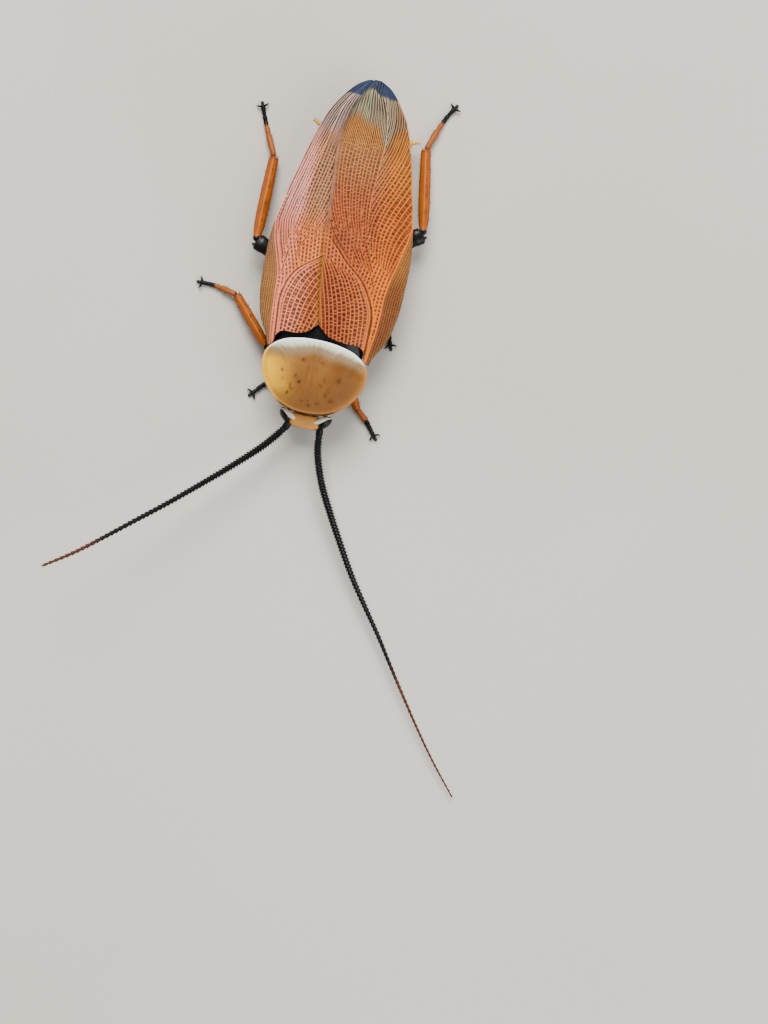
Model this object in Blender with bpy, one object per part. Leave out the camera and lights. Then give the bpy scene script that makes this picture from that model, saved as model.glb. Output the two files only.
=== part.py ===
"""A bush cockroach, life size, standing still with its wings folded.

The head points to -Y, the animal's left side is at +X, and the floor is the plane Z = 0.
Sizes and places are in millimetres. X is 0 on the midline and Y is 0 half way between
the front of the head and the tips of the folded wings. At the end everything hangs from
one empty, which puts the world origin on the floor under the middle of the model's box.
"""

import math
import random
from collections import namedtuple

import bmesh
import bpy
from mathutils import Matrix, Vector
from mathutils.geometry import delaunay_2d_cdt

MM = 0.001
UP = Vector((0.0, 0.0, 1.0))

# Clear space between neighbouring plates, and between the small pieces of legs and feelers.
GAP = 0.3
JOINT_GAP = 0.2

# Heights of the layers at mid body, from the outside in.
CREST_Z = 4.0
CREST_Y = -1.0
TAIL_SAG = 0.0124
WING_THICKNESS = 0.5
SHIELD_THICKNESS = 0.55
BELLY_Z = 0.95
THORAX_Z = 1.5

# Fore wings.
WING_BASE_Y = -5.0
WING_TIP_Y = 10.0
WING_HALF_WIDTH = 4.1
WING_SIDE_DROP = 1.5
SIDE_DROP_POWER = 3.0
# Half width of the folded wings at places along the body: (y, half width).
WING_OUTLINE = (
    (-6.2, 2.87), (-5.5, 3.12), (-4.5, 3.65), (-3.2, 3.97), (-1.2, WING_HALF_WIDTH),
    (0.6, 4.06), (2.0, 3.85), (4.4, 3.3), (6.0, 2.88), (7.0, 2.55), (8.0, 2.12),
    (9.0, 1.48), (9.6, 0.92), (WING_TIP_Y, 0.1),
)
# The left wing's inner edge, which lies over the right wing: (y, x).
SUTURE = (
    (-5.0, -0.15), (-4.4, -0.2), (-1.5, -0.6), (0.0, -0.8), (2.0, -1.0), (4.0, -1.1),
    (6.0, -1.25), (7.5, -1.2), (9.0, -0.7), (9.7, -0.1), (WING_TIP_Y, 0.05),
)
SCUTELLUM_HALF = 0.85
SCUTELLUM_TIP_Y = -4.35

# Veins of a fore wing, as (y, distance from the midline towards the wing's own side).
# The radius runs along the shoulder from the base to the tip.
RADIUS_VEIN = (
    (-4.7, 2.72), (-2.0, 3.0), (0.5, 3.2), (2.5, 3.1), (5.0, 2.62), (7.0, 2.1), (8.5, 1.4), (9.3, 0.75),
)
# The furrow that curves across the wing and bounds its inner base, and the line on which
# the inner ends of the other veins would lie if the wing went on past the suture.
FURROW = {
    1.0: ((-4.6, 2.5), (-3.3, 2.6), (-2.0, 2.1), (-0.8, 1.0), (0.0, 0.1), (0.6, -0.6)),
    -1.0: ((-4.6, 2.6), (-3.5, 2.8), (-2.4, 2.6), (-1.5, 2.0), (-1.0, 1.25)),
}
INNER_LINE = ((-2.0, 2.1), (-0.8, 1.0), (0.6, -0.6), (2.5, -1.4), (5.0, -1.6), (8.0, -1.4), (9.6, -0.5))
MEDIAN_VEINS = 5
ANAL_VEINS = 3
COSTAL_VEINS = 7
VEIN_HEIGHT = 0.12
VEIN_HALF_WIDTH = 0.14
FURROW_DEPTH = 0.12
HIND_VEIN_HEIGHT = 0.06

# Pronotum: the outline's right half from the rear midline to the front midline.
SHIELD_OUTLINE = (
    (0.0, -5.25), (1.3, -5.36), (2.35, -5.72), (2.88, -6.2), (3.03, -6.85), (2.93, -7.45),
    (2.65, -8.02), (2.18, -8.6), (1.5, -9.13), (0.78, -9.37), (0.0, -9.43),
)
SHIELD_TOP_Z = 4.0
SHIELD_SIDE_DROP = 1.0
SHIELD_FRONT_DROP = 0.85
SHIELD_LEVEL_Y = -6.6
SHIELD_CENTRE = (0.0, -7.2)
SHIELD_RIM_SHARE = 0.93
SHIELD_RIM_HEIGHT = 0.06

# Abdomen: (y, half width) along its length.
ABDOMEN_OUTLINE = (
    (-1.45, 2.35), (0.0, 2.75), (2.0, 2.9), (4.0, 2.65), (5.5, 2.05), (6.4, 1.45), (7.0, 0.8),
)
ABDOMEN_SEGMENTS = 9

# Head: the middle of its top and of its mouth.
HEAD_CROWN = (0.0, -9.9, 2.12)
HEAD_MOUTH = (0.0, -9.2, 0.62)
PALP = ((0.78, -9.1, 0.85), (1.15, -9.2, 0.7), (1.25, -9.6, 0.5), (0.95, -9.95, 0.35))

# Feelers: centre lines from the head to the tip, (x, y, z).
FEELER_RIGHT = (
    (-0.84, -10.36, 1.5), (-1.3, -10.8, 1.75), (-2.06, -11.38, 2.0), (-3.04, -12.69, 2.3),
    (-4.99, -14.3, 2.9), (-6.9, -15.98, 3.6), (-8.77, -17.84, 4.3), (-9.89, -18.7, 4.7),
    (-12.26, -20.74, 5.8),
)
FEELER_LEFT = (
    (0.84, -10.36, 1.5), (0.86, -10.75, 1.55), (1.04, -11.47, 1.5), (1.44, -12.99, 1.3),
    (1.94, -14.2, 1.15), (2.95, -15.53, 1.0), (3.97, -17.16, 0.9), (4.99, -18.7, 0.8),
    (6.01, -20.13, 0.75), (7.54, -22.18, 0.65), (9.08, -24.54, 0.6), (11.13, -27.3, 0.5),
    (12.86, -29.34, 0.45),
)
FEELER_RADIUS = 0.26
FEELER_NECK = 0.8
FEELER_PITCH = 0.6
FEELER_SIDES = 6

# Legs: the joints from the body outwards, (x, y, z). The foot bends at the instep.
FOOT_Z = 0.19
Leg = namedtuple("Leg", "root hip knee ankle instep toe")
LEGS = {
    "front_left": Leg(
        (0.65, -7.55, 0.95), (0.95, -6.3, 0.85), (2.1, -7.25, 1.2),
        (2.75, -8.4, 0.45), (3.45, -9.0, FOOT_Z), (4.1, -9.8, FOOT_Z),
    ),
    "front_right": Leg(
        (-0.65, -7.55, 0.95), (-0.95, -6.3, 0.85), (-2.25, -6.8, 1.2),
        (-1.85, -8.0, 0.45), (-2.75, -8.05, FOOT_Z), (-3.48, -8.8, FOOT_Z),
    ),
    "mid_left": Leg(
        (0.65, -5.1, 0.95), (1.15, -4.1, 0.85), (2.5, -5.3, 1.3),
        (2.65, -3.0, 0.5), (3.45, -3.3, FOOT_Z), (3.92, -4.45, FOOT_Z),
    ),
    "mid_right": Leg(
        (-0.65, -5.3, 0.95), (-1.5, -4.25, 0.85), (-3.0, -6.1, 1.3),
        (-5.46, -3.35, 0.5), (-6.8, -3.05, FOOT_Z), (-7.75, -3.02, FOOT_Z),
    ),
    "hind_left": Leg(
        (0.75, -3.15, 0.95), (1.95, -1.75, 0.85), (4.42, 2.2, 1.35),
        (3.55, 7.19, 0.5), (4.22, 9.1, FOOT_Z), (4.74, 10.03, FOOT_Z),
    ),
    "hind_right": Leg(
        (-0.75, -3.15, 0.95), (-1.75, -2.1, 0.85), (-4.9, -0.2, 1.6),
        (-5.0, 4.94, 0.5), (-5.86, 6.75, FOOT_Z), (-6.32, 7.86, FOOT_Z),
    ),
}
# Half width and half height of each piece at its thickest, by pair of legs.
COXA_SIZE = {"front": (0.36, 0.3), "mid": (0.4, 0.3), "hind": (0.5, 0.3)}
FEMUR_SIZE = {"front": (0.28, 0.25), "mid": (0.33, 0.27), "hind": (0.42, 0.3)}
TIBIA_RADIUS = {"front": 0.25, "mid": 0.26, "hind": 0.27}
TARSUS_RADIUS = 0.25
# The foot's five segments, as shares of its length, and its pair of claws.
TARSOMERES = (0.42, 0.14, 0.11, 0.09, 0.24)
CLAW_LENGTH = 0.5
CLAW_RADIUS = 0.12
SPINE_LENGTH = 0.42
SPINE_RADIUS = 0.1
# Spines on a tibia: how many, and the shares of its length between which they stand.
TIBIA_SPINES = {"front": (3, 0.38, 0.66), "mid": (4, 0.45, 0.78), "hind": (7, 0.2, 0.92)}
LEG_SIDES = 8

# Tail feelers.
CERCUS_ROOT = (1.5, 6.85, 1.15)
CERCUS_BEND = (2.3, 7.1, 1.1)
CERCUS_TIP = (3.15, 7.4, 1.2)
CERCUS_BEADS = 6

Look = namedtuple("Look", "colour roughness")
LOOKS = {
    "straw_shell": Look((0.72, 0.50, 0.20), 0.22),
    "black_shell": Look((0.015, 0.013, 0.016), 0.35),
    "rust_wing": Look((0.62, 0.22, 0.08), 0.35),
    "smoky_wing": Look((0.35, 0.22, 0.14), 0.4),
    "amber_leg": Look((0.80, 0.32, 0.04), 0.3),
    "belly": Look((0.42, 0.20, 0.07), 0.4),
    "face": Look((0.78, 0.56, 0.28), 0.3),
    "eye": Look((0.03, 0.02, 0.035), 0.12),
}


def clear_scene():
    for obj in list(bpy.data.objects):
        bpy.data.objects.remove(obj, do_unlink=True)


def material_for(name):
    """The Principled material of that look, made once."""
    found = bpy.data.materials.get(name)
    if found:
        return found
    look = LOOKS[name]
    made = bpy.data.materials.new(name)
    made.use_nodes = True
    shader = made.node_tree.nodes["Principled BSDF"]
    shader.inputs["Base Color"].default_value = (*look.colour, 1.0)
    shader.inputs["Roughness"].default_value = look.roughness
    shader.inputs["Metallic"].default_value = 0.0
    return made


def smooth_step(t):
    t = min(max(t, 0.0), 1.0)
    return t * t * (3.0 - 2.0 * t)


def read_profile(stations, at):
    """The value at a place between (place, value) stations, on a smooth curve through them."""
    if at <= stations[0][0]:
        return stations[0][1]
    if at >= stations[-1][0]:
        return stations[-1][1]
    last = len(stations) - 1
    i = next(k for k in range(last) if stations[k + 1][0] >= at)

    def slope(k):
        low, high = stations[max(k - 1, 0)], stations[min(k + 1, last)]
        return (high[1] - low[1]) / (high[0] - low[0])

    (x0, y0), (x1, y1) = stations[i], stations[i + 1]
    span = x1 - x0
    t = (at - x0) / span
    rise = y1 - y0
    bend_0 = slope(i) * span - rise
    bend_1 = rise - slope(i + 1) * span
    return y0 + rise * t + t * (1.0 - t) * ((1.0 - t) * bend_0 + t * bend_1)


def smooth_curve(points, per_span=12):
    """Many points of a smooth curve through the given points."""
    knots = [Vector(p) for p in points]
    knots = [knots[0] * 2 - knots[1], *knots, knots[-1] * 2 - knots[-2]]
    curve = []
    for i in range(1, len(knots) - 2):
        before, start, end, after = knots[i - 1:i + 3]
        for step in range(per_span):
            t = step / per_span
            curve.append(
                0.5 * (
                    2 * start
                    + (end - before) * t
                    + (2 * before - 5 * start + 4 * end - after) * t * t
                    + (3 * start - before - 3 * end + after) * t * t * t
                )
            )
    curve.append(knots[-2])
    return curve


def curve_length(curve):
    return sum((b - a).length for a, b in zip(curve, curve[1:]))


def point_on(curve, distance):
    """The point that far along a curve."""
    for a, b in zip(curve, curve[1:]):
        step = (b - a).length
        if distance <= step:
            return a.lerp(b, distance / step)
        distance -= step
    return curve[-1].copy()


def cross_section(centre, along, half_width, half_height, sides, squareness=2.0):
    """One closed ring about centre, across the direction along, wide level and high upwards."""
    side = along.cross(UP).normalized()
    up = side.cross(along).normalized()
    power = 2.0 / squareness
    ring = []
    for k in range(sides):
        angle = 2.0 * math.pi * (k + 0.5) / sides
        across, rise = math.cos(angle), math.sin(angle)
        across = math.copysign(abs(across) ** power, across) * half_width
        rise = math.copysign(abs(rise) ** power, rise) * half_height
        point = centre + side * across + up * rise
        point.z = max(point.z, 0.0)
        ring.append(point)
    return ring


def shape_from_rings(rings):
    """A closed surface through rings of equal counts, with a flat face at each end."""
    count = len(rings[0])
    points = [point for ring in rings for point in ring]
    faces = []
    for i in range(len(rings) - 1):
        near, far = i * count, (i + 1) * count
        for k in range(count):
            n = (k + 1) % count
            faces.append((near + k, near + n, far + n, far + k))
    faces.append(tuple(reversed(range(count))))
    faces.append(tuple(range((len(rings) - 1) * count, len(rings) * count)))
    return points, faces


def limb(points, stations, sides):
    """A closed tube along a smooth curve. A station is (share of the length, half width, half height)."""
    curve = smooth_curve(points)
    length = curve_length(curve)
    reach = 0.05
    rings = []
    for share, half_width, half_height in stations:
        place = share * length
        along = point_on(curve, place + reach) - point_on(curve, max(place - reach, 0.0))
        rings.append(
            cross_section(point_on(curve, place), along.normalized(), half_width, half_height, sides)
        )
    return shape_from_rings(rings)


def plate(outline, lines, spots, top, under):
    """A closed plate over a plan outline. The same triangles make its upper and lower faces.

    lines are plan lines whose points the triangles keep, and spots are single plan points.
    top and under give the two faces' heights at a plan point.
    """
    plan = [Vector(p) for p in outline]
    edges = []
    for line in lines:
        first = len(plan)
        plan.extend(Vector(p) for p in line)
        edges.extend((k, k + 1) for k in range(first, len(plan) - 1))
    plan.extend(Vector(p) for p in spots)
    border = [list(range(len(outline)))]
    plan, _, triangles, _, _, _ = delaunay_2d_cdt(plan, edges, border, 1, 1e-4)
    count = len(plan)
    points = [Vector((p.x, p.y, top(p.x, p.y))) for p in plan]
    points += [Vector((p.x, p.y, under(p.x, p.y))) for p in plan]
    faces = []
    rim = {}
    for a, b, c in triangles:
        faces.append((a, b, c))
        faces.append((c + count, b + count, a + count))
        for edge in ((a, b), (b, c), (c, a)):
            if (edge[1], edge[0]) in rim:
                del rim[(edge[1], edge[0])]
            else:
                rim[edge] = True
    for a, b in rim:
        faces.append((b, a, a + count))
        faces.append((b, a + count, b + count))
    return points, faces


def object_from(name, shape):
    """An object in millimetres from a closed shape, with its faces turned outwards."""
    points, faces = shape
    mesh = bpy.data.meshes.new(name)
    mesh.from_pydata(points, [], faces)
    work = bmesh.new()
    work.from_mesh(mesh)
    bmesh.ops.recalc_face_normals(work, faces=work.faces)
    if work.calc_volume(signed=True) < 0.0:
        bmesh.ops.reverse_faces(work, faces=work.faces)
    work.to_mesh(mesh)
    work.free()
    obj = bpy.data.objects.new(name, mesh)
    bpy.context.scene.collection.objects.link(obj)
    return obj


def keep_largest_surface(mesh):
    """Leaves only the closed surface that holds the most volume."""
    work = bmesh.new()
    work.from_mesh(mesh)
    left = set(work.faces)
    surfaces = []
    while left:
        front = [left.pop()]
        surface = set(front)
        while front:
            face = front.pop()
            for edge in face.edges:
                for other in edge.link_faces:
                    if other in left:
                        left.discard(other)
                        surface.add(other)
                        front.append(other)
        surfaces.append(surface)

    def volume(surface):
        total = 0.0
        for face in surface:
            corners = [v.co for v in face.verts]
            for a, b in zip(corners[1:], corners[2:]):
                total += corners[0].dot(a.cross(b))
        return total

    surfaces.sort(key=volume, reverse=True)
    extra = [face for surface in surfaces[1:] for face in surface]
    bmesh.ops.delete(work, geom=extra, context="FACES")
    work.to_mesh(mesh)
    work.free()


def fuse(obj, extras):
    """Joins closed shapes to an object by one Boolean union."""
    group = bpy.data.collections.new("fused with " + obj.name)
    bpy.context.scene.collection.children.link(group)
    for k, shape in enumerate(extras):
        extra = object_from(f"{obj.name} extra {k}", shape)
        bpy.context.scene.collection.objects.unlink(extra)
        group.objects.link(extra)
    union = obj.modifiers.new("union", "BOOLEAN")
    union.operation = "UNION"
    union.operand_type = "COLLECTION"
    union.collection = group
    union.solver = "EXACT"
    bpy.context.view_layer.update()
    fused = bpy.data.meshes.new_from_object(obj.evaluated_get(bpy.context.evaluated_depsgraph_get()))
    obj.modifiers.clear()
    obj.data = fused
    for extra in list(group.objects):
        bpy.data.objects.remove(extra, do_unlink=True)
    bpy.data.collections.remove(group)
    keep_largest_surface(fused)


def add_part(name, shape, look, extras=()):
    """One named object, in metres, from a closed shape in millimetres and any shapes fused to it."""
    obj = object_from(name, shape)
    if extras:
        fuse(obj, extras)
    mesh = obj.data
    mesh.name = name
    mesh.transform(Matrix.Scale(MM, 4))
    mesh.shade_smooth()
    mesh.set_sharp_from_angle(angle=math.radians(50.0))
    mesh.materials.clear()
    mesh.materials.append(material_for(look))
    return obj


def crest_z(y):
    """Height of the folded wings' upper face on the midline."""
    return CREST_Z - TAIL_SAG * (y - CREST_Y) ** 2


def wing_half_width(y):
    return read_profile(WING_OUTLINE, y)


def wing_z(x, y):
    """Height of the folded wings' upper face, which turns down towards the sides."""
    half = max(wing_half_width(y), 0.6)
    share = min(abs(x) / half, 1.0)
    drop = WING_SIDE_DROP * half / WING_HALF_WIDTH
    return crest_z(y) - drop * share ** SIDE_DROP_POWER


def layer_under_wings(x, y):
    """Upper face of what lies next under the fore wings."""
    return wing_z(x, y) - WING_THICKNESS - GAP


def shield_z(x, y):
    """Height of the pronotum's upper face."""
    half = SHIELD_OUTLINE[4][0]
    reach = SHIELD_LEVEL_Y - SHIELD_OUTLINE[-1][1]
    ahead = max(SHIELD_LEVEL_Y - y, 0.0) / reach
    side = min(abs(x) / half, 1.0)
    return SHIELD_TOP_Z - SHIELD_SIDE_DROP * side ** 2.6 - SHIELD_FRONT_DROP * ahead ** 2.2


def ring_about(outline, centre, share):
    """The outline drawn in towards a centre."""
    return [(centre[0] + (x - centre[0]) * share, centre[1] + (y - centre[1]) * share) for x, y in outline]


def make_pronotum():
    half = [Vector((x, y, 0.0)) for x, y in SHIELD_OUTLINE]
    right = [(p.x, p.y) for p in smooth_curve(half, per_span=3)]
    outline = right + [(-x, y) for x, y in reversed(right[1:-1])]
    centre = SHIELD_CENTRE
    spots = [centre]
    for share, step in ((SHIELD_RIM_SHARE, 1), (0.72, 2), (0.45, 4), (0.2, 8)):
        spots.extend(ring_about(outline, centre, share)[::step])

    rim_points = {tuple(Vector(p)) for p in outline}

    def top(x, y):
        """The shield's face with a low rim raised all round its edge."""
        return shield_z(x, y) + (SHIELD_RIM_HEIGHT if (x, y) in rim_points else 0.0)

    shape = plate(outline, [], spots, top, lambda x, y: shield_z(x, y) - SHIELD_THICKNESS)
    add_part("pronotum", shape, "straw_shell")


def steps_between(low, high, spacing):
    """Even places from low to high, both ends included."""
    count = max(int(round((high - low) / spacing)), 1)
    return [low + (high - low) * k / count for k in range(count + 1)]


def inner_limit(side, y):
    """Where a fore wing's inner edge shows, measured from the midline towards its own side."""
    if side > 0.0:
        return read_profile(SUTURE, y)
    return GAP - read_profile(SUTURE, y)


def wing_border(side):
    """Plan outline of one fore wing: along its outer side to the tip, and back along the suture."""
    front_y = WING_BASE_Y - 0.55
    outer = [(wing_half_width(y), y) for y in steps_between(front_y, 9.0, 0.8)]
    if side > 0.0:
        tip = [(1.1, 9.45), (0.6, 9.85), (0.1, WING_TIP_Y)]
        inner_tip_y, base_inner = 9.7, SCUTELLUM_HALF
    else:
        tip = [(1.2, 9.4), (0.76, 9.7)]
        inner_tip_y, base_inner = 9.3, SCUTELLUM_HALF + 0.25
    inner = [(inner_limit(side, y), y) for y in steps_between(SCUTELLUM_TIP_Y, inner_tip_y, 0.8)]
    base = [(base_inner, WING_BASE_Y), (2.3, WING_BASE_Y + 0.02), (2.75, WING_BASE_Y - 0.25)]
    return [(side * u, y) for u, y in outer + tip + inner[::-1] + base]


def kept_run(line, side, margin):
    """The longest stretch of a vein that keeps clear of its wing's edges."""
    best, run = [], []
    for u, y in line:
        clear = inner_limit(side, y) + margin < u < wing_half_width(y) - margin
        run = run + [(u, y)] if clear else []
        if len(run) > len(best):
            best = run
    return best


def wing_veins(side):
    """Plan lines of one fore wing's main veins, and its furrow."""
    margin = 0.24
    pitch = 1.0
    veins = [[(read_profile(RADIUS_VEIN, y), y) for y in steps_between(-4.6, 8.8, pitch)]]
    for k in range(1, MEDIAN_VEINS + 1):
        share = k / (MEDIAN_VEINS + 1)
        start = -2.0 if k % 2 == 0 else -0.7
        line = []
        for y in steps_between(start, 9.0, pitch):
            inner, outer = read_profile(INNER_LINE, y), read_profile(RADIUS_VEIN, y)
            line.append((inner + (outer - inner) * share, y))
        veins.append(line)
    for k in range(1, ANAL_VEINS + 1):
        share = k / (ANAL_VEINS + 1)
        line = []
        for y in steps_between(-4.6, -0.6, 0.7):
            inner = read_profile(SUTURE, y) - 0.35 * (y - WING_BASE_Y)
            outer = read_profile(FURROW[side], y)
            line.append((inner + (outer - inner) * share, y))
        veins.append(line)
    for k in range(COSTAL_VEINS):
        start = -4.0 + 1.3 * k
        line = []
        for share in (0.0, 0.35, 0.7, 1.0):
            y = start + 1.9 * share
            inner, outer = read_profile(RADIUS_VEIN, y) + 0.3, wing_half_width(y) - margin
            line.append((inner + (outer - inner) * share ** 1.3, y))
        veins.append(line)
    veins = [kept_run(line, side, margin - 0.02) for line in veins]
    furrow = [(read_profile(FURROW[side], y), y) for y in steps_between(-4.4, FURROW[side][-1][0], 0.6)]
    furrow = kept_run(furrow, side, margin)

    def on_side(line):
        return [Vector((side * u, y)) for u, y in line]

    return [on_side(line) for line in veins if len(line) > 2], on_side(furrow)


def beside(line, offset):
    """The plan line that runs beside another at a distance."""
    moved = []
    for i, point in enumerate(line):
        along = (line[min(i + 1, len(line) - 1)] - line[max(i - 1, 0)]).normalized()
        moved.append(point + Vector((-along.y, along.x)) * offset)
    return moved


def ridge_lines(line):
    """A vein's crest, run out to where it has sunk into the membrane, and the feet of its two flanks."""
    start = line[0] + (line[0] - line[1]).normalized() * VEIN_HALF_WIDTH
    end = line[-1] + (line[-1] - line[-2]).normalized() * VEIN_HALF_WIDTH
    return [start, *line, end], beside(line, -VEIN_HALF_WIDTH), beside(line, VEIN_HALF_WIDTH)


def distance_to(line, point):
    best = 1e9
    for a, b in zip(line, line[1:]):
        along = b - a
        share = min(max((point - a).dot(along) / along.length_squared, 0.0), 1.0)
        best = min(best, (point - a - along * share).length)
    return best


def make_fore_wing(name, side):
    border = wing_border(side)
    veins, furrow = wing_veins(side)
    lines = [ridge for line in [*veins, furrow] for ridge in ridge_lines(line)]
    spots = [(side * u, y) for y in (-3.4, -2.2, 7.4) for u in (0.5, 1.3) if u > inner_limit(side, y) + 0.3]

    def relief(x, y):
        """Height of the veins above the membrane."""
        point = Vector((x, y))
        ridge = max(1.0 - distance_to(line, point) / VEIN_HALF_WIDTH for line in veins)
        groove = 1.0 - distance_to(furrow, point) / VEIN_HALF_WIDTH
        return VEIN_HEIGHT * max(ridge, 0.0) - FURROW_DEPTH * max(groove, 0.0)

    shape = plate(
        border, lines, spots,
        lambda x, y: wing_z(x, y) + relief(x, y),
        lambda x, y: wing_z(x, y) - WING_THICKNESS,
    )
    add_part(name, shape, "rust_wing")


def make_hind_wing(name, side):
    """The folded hind wing, under the fore wings, with a few long veins."""
    front_y, tip_y, inner = -3.7, 8.8, 0.15
    margin = 0.75

    def outer_edge(y):
        return max(wing_half_width(y) - margin, inner + 0.2)

    rows = steps_between(front_y, tip_y, 1.25)
    outline = [(side * outer_edge(y), y) for y in rows] + [(side * inner, y) for y in reversed(rows)]
    veins = [
        [Vector((side * (inner + (outer_edge(y) - inner) * share), y)) for y in rows[1:-2]]
        for share in (0.25, 0.5, 0.75)
    ]
    lines = [ridge for line in veins for ridge in ridge_lines(line)]

    def top(x, y):
        ridge = max(1.0 - distance_to(line, Vector((x, y))) / VEIN_HALF_WIDTH for line in veins)
        return layer_under_wings(x, y) + HIND_VEIN_HEIGHT * max(ridge, 0.0)

    shape = plate(outline, lines, [], top, lambda x, y: layer_under_wings(x, y) - WING_THICKNESS)
    add_part(name, shape, "smoky_wing")


def make_mesonotum():
    """The black plate that shows between the pronotum and the wings, with the pointed scutellum."""
    front_y, rear_y, half = -5.78, -4.75, 2.5
    outline = [
        (-half, front_y), (0.0, front_y), (half, front_y), (half, rear_y - 0.1), (SCUTELLUM_HALF, rear_y),
        (0.15, SCUTELLUM_TIP_Y + 0.2), (-0.15, SCUTELLUM_TIP_Y + 0.25), (-0.45, SCUTELLUM_TIP_Y + 0.2),
        (-SCUTELLUM_HALF, rear_y), (-half, rear_y - 0.1),
    ]
    spots = [(x, -5.25) for x in (-1.9, -1.2, -0.5, 0.5, 1.2, 1.9)]
    shape = plate(
        outline, [], spots,
        layer_under_wings, lambda x, y: layer_under_wings(x, y) - WING_THICKNESS,
    )
    add_part("mesonotum", shape, "black_shell")


def trunk(stations, sides, squareness=2.2):
    """A closed body along Y from (y, half width, low z, high z) stations."""
    rings = []
    for y, half_width, low, high in stations:
        centre = Vector((0.0, y, (low + high) / 2.0))
        rings.append(
            cross_section(centre, Vector((0.0, 1.0, 0.0)), half_width, (high - low) / 2.0, sides, squareness)
        )
    return shape_from_rings(rings)


def make_thorax():
    below_wings = crest_z(-4.0) - 2 * WING_THICKNESS - 2 * GAP - 0.12
    add_part("prothorax", trunk((
        (-8.75, 0.55, 1.9, 2.45), (-8.3, 1.1, 1.6, 2.6), (-7.4, 1.5, THORAX_Z, 2.8),
        (-6.6, 1.6, THORAX_Z, 2.85), (-6.1, 1.45, 1.6, 2.7),
    ), 12), "belly")
    add_part("mesothorax", trunk((
        (-5.8, 1.6, 1.6, 1.95), (-5.3, 2.0, THORAX_Z, below_wings - 0.4),
        (-4.6, 2.2, THORAX_Z, below_wings - 0.35), (-3.95, 2.2, 1.55, below_wings - 0.2),
    ), 12), "belly")
    add_part("metathorax", trunk((
        (-3.65, 2.2, 1.55, below_wings - 0.1), (-3.0, 2.35, THORAX_Z, below_wings),
        (-2.2, 2.4, 1.45, below_wings), (-1.75, 2.3, 1.4, below_wings),
    ), 12), "belly")


def make_abdomen():
    rings = []
    front, rear = ABDOMEN_OUTLINE[0][0], ABDOMEN_OUTLINE[-1][0]
    pitch = (rear - front) / ABDOMEN_SEGMENTS
    for k in range(ABDOMEN_SEGMENTS):
        for share, swell in ((0.0, 0.96), (0.92, 1.02)):
            y = front + (k + share) * pitch
            half = read_profile(ABDOMEN_OUTLINE, y) * swell
            high = crest_z(y) - 2 * WING_THICKNESS - 2 * GAP - 0.15
            low = BELLY_Z + 0.3 * smooth_step((0.0 - y) / 2.0)
            centre = Vector((0.0, y, (low + high) / 2.0))
            rings.append(
                cross_section(centre, Vector((0.0, 1.0, 0.0)), half, (high - low) / 2.0 * swell, 16)
            )
    add_part("abdomen", shape_from_rings(rings), "belly")


def make_cercus(name, side):
    """A tail feeler of a few beads, thickest before its middle."""
    points = [(side * x, y, z) for x, y, z in (CERCUS_ROOT, CERCUS_BEND, CERCUS_TIP)]
    stations = []
    for k in range(CERCUS_BEADS):
        radius = 0.25 * math.sin(math.pi * (0.3 + 0.62 * k / (CERCUS_BEADS - 1)))
        stations.append((k / CERCUS_BEADS, radius * 0.75, radius * 0.75))
        stations.append(((k + 0.6) / CERCUS_BEADS, radius, radius))
    stations.append((1.0, 0.04, 0.04))
    add_part(name, limb(points, stations, 8), "amber_leg")


def blob(centre, half_sizes, tilt=0.0, sides=10, rows=6):
    """A closed egg shape, tilted about the level line across the body."""
    turn = Matrix.Rotation(tilt, 3, "X")
    rings = []
    for i in range(rows):
        polar = math.pi * (i + 0.5) / rows
        ring = []
        for k in range(sides):
            angle = 2.0 * math.pi * k / sides
            point = Vector((
                half_sizes[0] * math.sin(polar) * math.cos(angle),
                half_sizes[1] * math.sin(polar) * math.sin(angle),
                -half_sizes[2] * math.cos(polar),
            ))
            ring.append(centre + turn @ point)
        rings.append(ring)
    return shape_from_rings(rings)


def make_head():
    """The head hangs down under the pronotum, with the face to the front and the mouth below."""
    crown, mouth = Vector(HEAD_CROWN), Vector(HEAD_MOUTH)
    along = (mouth - crown).normalized()
    across = Vector((1.0, 0.0, 0.0))
    face = along.cross(across)
    stations = (
        (0.0, 0.5, 0.12), (0.05, 0.72, 0.27), (0.15, 0.84, 0.39), (0.3, 0.86, 0.44), (0.48, 0.8, 0.43),
        (0.62, 0.7, 0.39), (0.74, 0.6, 0.34), (0.86, 0.48, 0.27), (0.95, 0.36, 0.2), (1.0, 0.22, 0.1),
    )
    sides = 18
    rings = []
    for share, half_width, half_depth in stations:
        centre = crown.lerp(mouth, share)
        rings.append([
            centre
            + across * (half_width * math.cos(2 * math.pi * k / sides))
            + face * (half_depth * math.sin(2 * math.pi * k / sides))
            for k in range(sides)
        ])
    tilt = math.atan2(along.y, -along.z)
    lip = mouth - along * 0.12 - face * 0.22
    extras = [blob(lip, (0.3, 0.14, 0.26), tilt)]
    for side in (1.0, -1.0):
        jaw = mouth - along * 0.3 + across * (side * 0.34) - face * 0.04
        extras.append(blob(jaw, (0.14, 0.2, 0.3), tilt))
        palp = [
            mouth - along * 0.1 + across * (side * 0.16) + face * 0.1,
            mouth + across * (side * 0.3) + face * 0.32 + along * 0.06,
            mouth + across * (side * 0.38) + face * 0.62 + along * 0.02,
        ]
        sizes = ((0.0, 0.1), (0.5, 0.12), (0.85, 0.12), (1.0, 0.05))
        extras.append(limb(palp, [(place, size, size) for place, size in sizes], 6))
    add_part("head", shape_from_rings(rings), "face", extras)


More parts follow.
